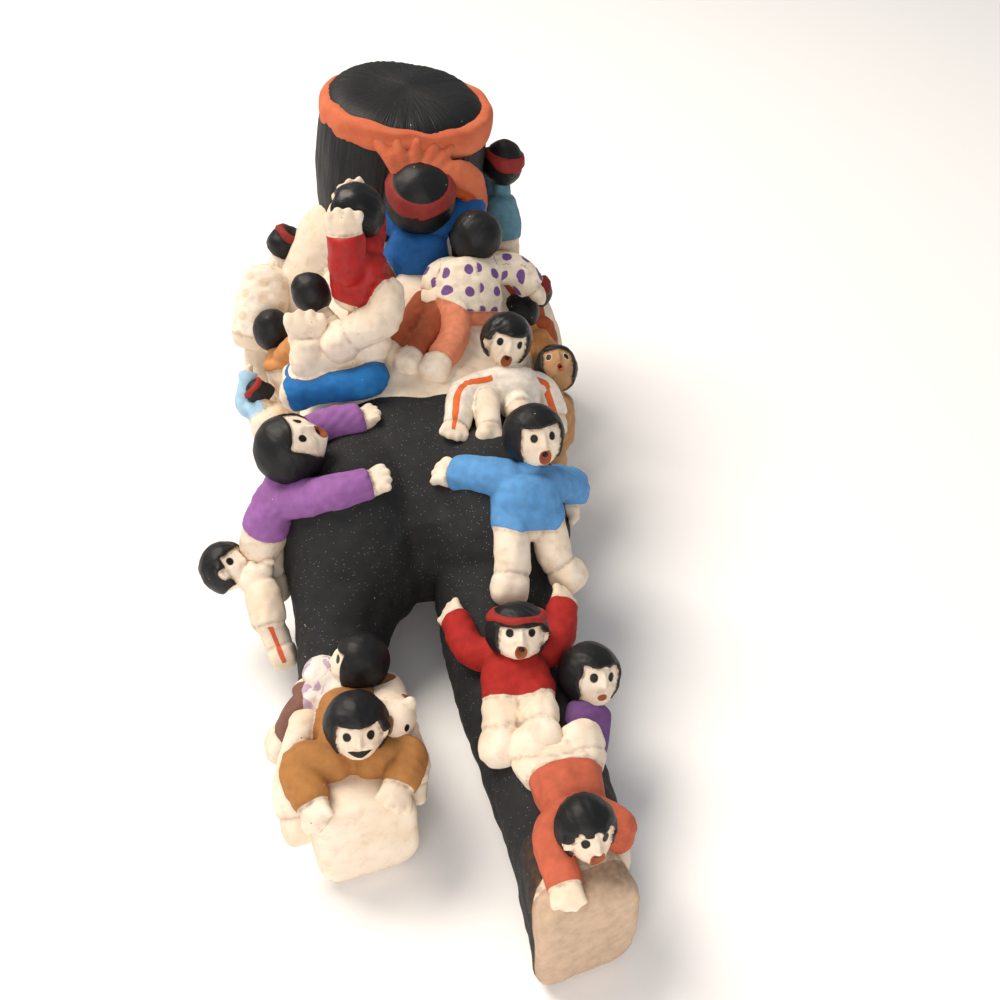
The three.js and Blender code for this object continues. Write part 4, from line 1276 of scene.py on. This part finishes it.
# %% The large head
HEAD_AT = np.array([-1, 91, 76.5])
HEAD_HALF = (23.6, 25.2, 28)  # across, up and down from the middle
HEAD_TURN = facing((0, 1, 0.1), (0.13, 0, 1))
GREAT_HAIR = 1.6  # how thick the cap of hair is
GREAT_ROUND = 26  # how far its skin is from its middle, on the whole
GREAT_EYE = 9.5  # from the middle of the face to the middle of an eye
GREAT_MOUTH = 16.5  # how far the mouth lies below the middle


def on_head(local):
    """Points from the head's own axes to the frame's."""
    return np.asarray(local, float) @ HEAD_TURN.T + HEAD_AT


def crown_reach(d):
    """A ball with a squared crown: the level and the upright share of a direction, joined by a power."""
    power = 4.15 + 1.85 * np.tanh(6 * d[..., 2])
    high = np.where(d[..., 2] > 0, HEAD_HALF[1], HEAD_HALF[2])
    level = np.hypot(d[..., 0], d[..., 1]) / HEAD_HALF[0]
    return (level ** power + np.abs(d[..., 2] / high) ** power) ** (-1 / power)


# %% Face and hair of the large head
def great_head_shape(d):
    """Radius and painted areas of the storyteller's head in directions d."""
    mm = np.pi / 180 * GREAT_ROUND
    across = np.degrees(np.arctan2(d[..., 0], d[..., 1]))
    up = np.degrees(np.arcsin(np.clip(d[..., 2], -1, 1)))
    level = np.cos(np.radians(up))
    x = across * level * mm
    y = up * mm
    # The hair ends in a curved fringe, beside the face and at the nape
    hair = np.maximum(y - 9.5 + 0.006 * x ** 2, (np.abs(across) - 50) * level * mm)
    hair = np.minimum(hair, (up + 62) * mm)
    cover = np.clip(hair / 1.5, 0, 1)
    reach = crown_reach(d) + GREAT_HAIR * np.sqrt(cover * (2 - cover))
    # Closed lids, with a groove under them, and the ridge and the tip of the nose
    side = np.abs(x) - GREAT_EYE
    reach = reach + 1.5 * hump(side, y - 1, 4.6, 2.8) - 0.8 * hump(side, y + 3.2, 4.5, 1.2)
    reach = reach + 2.6 * hump(x, y + 4, 2.3, 4.6) + 1.9 * hump(x, y + 7, 3.0, 2.0)
    # Lips round the hollow of the mouth, then the cheeks and the chin
    ring = np.hypot(x, 1.05 * (y + GREAT_MOUTH))
    reach = reach + 1.3 * hump(ring - 3.9, 0, 1.5, 1) - 3.0 * np.clip((3.1 - ring) / 1.4, 0, 1)
    reach = reach + 0.9 * hump(side - 2, y + 11, 6.5, 5.5) + 1.2 * hump(x, y + 25, 6, 3.5)
    # What is painted: lashes, brows, the dark of the mouth as painted shade of its hollow, lips and a
    # spot on each cheek
    lashes = 0.42 - np.abs(y + 1.9 - 0.085 * side ** 2)
    lashes = np.minimum(lashes, 4.6 - np.abs(side))
    brows = np.minimum(0.5 - np.abs(y - 5.9 + 0.06 * side ** 2), 5.0 - np.abs(side))
    cheeks = 3.4 - np.hypot(side - 2, y + 11)
    marks = {"hair": hair, "eyes": np.maximum(np.maximum(lashes, brows), 2.1 - ring)}
    marks["lips"] = np.maximum(5.0 - ring, cheeks)
    # The strands of the hair run down from the crown
    turn = np.radians(across)
    down = np.pi / 2 - np.radians(up)
    around = [GREAT_ROUND * np.cos(turn), GREAT_ROUND * np.sin(turn)]
    marks["comb"] = np.stack([*around, 2.5 * down], axis=-1)
    strand = wander(marks["comb"] * [1, 1, 0.4], 1.8, 8)
    combed = np.clip(1.4 * np.hypot(d[..., 0], d[..., 1]), 0, 1) * cover
    return reach + 0.13 * strand * combed, marks


# %% The head put in place
def great_head():
    """The head as one shell with marks."""
    grid = face_grid(220, 130, crowd=0.55)
    reach, marks = great_head_shape(grid)
    pole_reach, pole_marks = great_head_shape(POLES)
    reach = reach + 0.25 * wander(grid * GREAT_ROUND, 13, 4)
    first, last = on_head(POLES * pole_reach[:, None])
    points, faces = skin(on_head(grid * reach[..., None]), first, last)
    return points, faces, with_poles(marks, pole_marks)


head_coats = [("hair", HAIR, 0.55), ("lips", "#a8503c", 0.7), ("eyes", EYE_BLACK, 0.5)]
clay_piece("storyteller_head", [great_head()], painted_clay("combed_hair", head_coats, combed=True))

# %% [markdown]
# ## The headband
#
# A folded scarf goes round the head under the crown. Its ends are gathered at the back in a fan of
# folds, and one tail is laid over to the right and hangs down. The band is a profile carried round a
# circle, and the folds, the knot and the tail are rolls melted together.

# %% The band
BAND_UP = 20.4  # how far its middle at the back lies over the middle of the head
BAND_HALF = 4.6  # half its width
BAND_OUT = 25.0  # how far out it reaches
SALMON = "#d97652"
SALMON_SHADE = "#c4603f"
SCARF_LINING = "#c8561c"


def band():
    """The band: at each turn round the head the profile is a squared half-oval that leaves only a thin
    rim round the crown. It is lower and wider towards the face, and has shallow waves near the knot."""
    turn = np.linspace(0, 2 * np.pi, 220, endpoint=False)[None]
    slope = np.linspace(-np.pi / 2, np.pi / 2, 30)[:, None]
    high = squared(np.sin(slope), 0.7)
    thick = np.abs(np.cos(slope)) ** 0.5
    from_knot = np.degrees(np.abs((turn + np.pi) % (2 * np.pi) - np.pi))
    drawn = np.exp(-(from_knot / 34) ** 2)
    waves = 0.5 * np.sin(high * 6 + from_knot / 9) * drawn
    radius = BAND_OUT - 2.8 - 0.8 * np.cos(turn) + (3.4 + waves) * thick
    middle = BAND_UP - 1.7 + 1.7 * np.cos(turn)
    z = middle + BAND_HALF * high * (1 - 0.12 * drawn) + 0.3 * np.sin(2 * turn)
    points = np.stack([0.7 - radius * np.sin(turn), -radius * np.cos(turn), z + 0 * turn], axis=-1)
    points = points + 0.2 * wander(points, 9, 21)[..., None]
    first, last = np.array([[0, 0, BAND_UP - BAND_HALF], [0, 0, BAND_UP + BAND_HALF - 9]])
    return skin(on_head(points), on_head(first), on_head(last))


print("the band is", len(band()[1]), "triangles")

# %% Knot and tail
def knot_and_tail():
    """Folds that fan out from the knot, the knot and the two layers of the tail, melted."""
    shells = []
    for share in (-1.0, -0.45, 0.1, 0.65, 1.15):
        rows = [(1 + 9.5 * share, -23.6 + 1.6 * share ** 2, 22.5 - 2 * abs(share), 1.7)]
        rows += [(1 + 5.5 * share, -26.3, 17, 2.0), (1 + 2 * share, -27.3, 12, 2.2)]
        rows += [(1 + share, -27.5, 8, 2)]
        shells.append(limb([(*on_head(row[:3]), row[3]) for row in rows], around=14))
    tail = [(4, -26.7, 13, 3.0), (10, -26.7, 15, 3.6), (17, -23.7, 13, 4.0)]
    tail += [(22, -19.5, 6, 4.4), (22.5, -17.5, -4, 4.6)]
    inner = [(13, -25.7, 10, 2.4), (18, -23, 8, 3.2), (20, -20.7, 2, 3.6), (20, -19.3, -5, 3.6)]
    rows = [[(*on_head(row[:3]), row[3]) for row in path] for path in (tail, inner)]
    shells += [limb(rows[0], around=20, flat=0.55, side=(0, 0.3, 1)), limb(rows[1], around=20, flat=0.6)]
    points, faces, hollows = body_of_clay(shells, voxel=0.6, seed=31, dents=0.15, rounds=2)
    lining = past(points, rows[0])[0] - past(points, rows[1])[0] - 0.4
    # The hollows between the folds get dust and painted shade
    return points, faces, {"lining": lining, "dirt": hollows * 0.6}


scarf = painted_clay("salmon_scarf", [("lining", SCARF_LINING, 0.75)], base=SALMON, shade=SALMON_SHADE)
clay_piece("headband", [(*band(), {}), knot_and_tail()], scarf)

# %% [markdown]
# ## A pup between two children
#
# A small dog looks out beside the left foot. Only its face and one eye show, so the rest is a plain
# back that runs in under the child behind it.

# %% The pup
def pup():
    """Head, muzzle, ears, back and forepaws, melted, with two eyes, a nose and a few brown patches."""
    head, muzzle = np.array([-11, -84, 31.0]), np.array([-10.5, -88, 29.2])
    shells = [ball(head, (4.6, 4.8, 4.3)), ball(muzzle, (2.5, 2.9, 2.1))]
    shells += [ball(head + [3.4 * side, 0.8, 3.1], (1.5, 1.2, 2.2)) for side in (-1, 1)]
    shells += [limb([(-12, -80, 27, 5.2), (-14, -72, 25, 5.5)], around=18)]
    for side in (-1, 1):
        forepaw = [(-11 + 3 * side, -83, 26, 2), (-10.5 + 2.6 * side, -89, 25.2, 1.7)]
        shells.append(limb(forepaw, around=12))
    points, faces, hollows = body_of_clay(shells, voxel=0.5, seed=61, dents=0.12)
    eyes = np.full(len(points), OUTSIDE)
    for side in (-1, 1):
        spot = head + np.array([2.1 * side + 0.3, -4.0, 0.9])
        eyes = np.maximum(eyes, 0.85 - np.linalg.norm((points - spot) / [0.8, 1, 1.1], axis=1))
    nose = 0.9 - np.linalg.norm(points - muzzle - [0, -2.8, 0.5], axis=1)
    patches = wander(points, 6, 71) - 0.75
    # The hollows get dust and painted shade
    return points, faces, {"patches": patches, "eyes": np.maximum(eyes, nose), "dirt": hollows * 0.8}


pup_coats = [("patches", "#8a5a3a", 0.66), ("eyes", EYE_BLACK, 0.42)]
clay_piece("pup", [pup()], painted_clay("patched_coat", pup_coats))

# %% [markdown]
# ## The table
#
# A wide plain sheet of white under the figure. It isn't part of the object.

# %% Floor
def floor():
    """A white square of two metres a side."""
    mesh = bpy.data.meshes.new("floor")
    half = 1.0
    corners = [(-half, -half, 0), (half, -half, 0), (half, half, 0), (-half, half, 0)]
    mesh.from_pydata(corners, [], [(0, 1, 2, 3)])
    paper = bpy.data.materials.new("white_paper")
    paper.use_nodes = True
    paper.node_tree.nodes["Principled BSDF"].inputs["Base Color"].default_value = srgb("#ffffff")
    paper.node_tree.nodes["Principled BSDF"].inputs["Roughness"].default_value = 0.9
    mesh.materials.append(paper)
    thing = bpy.data.objects.new("floor", mesh)
    bpy.context.collection.objects.link(thing)


floor()
print("floor laid")
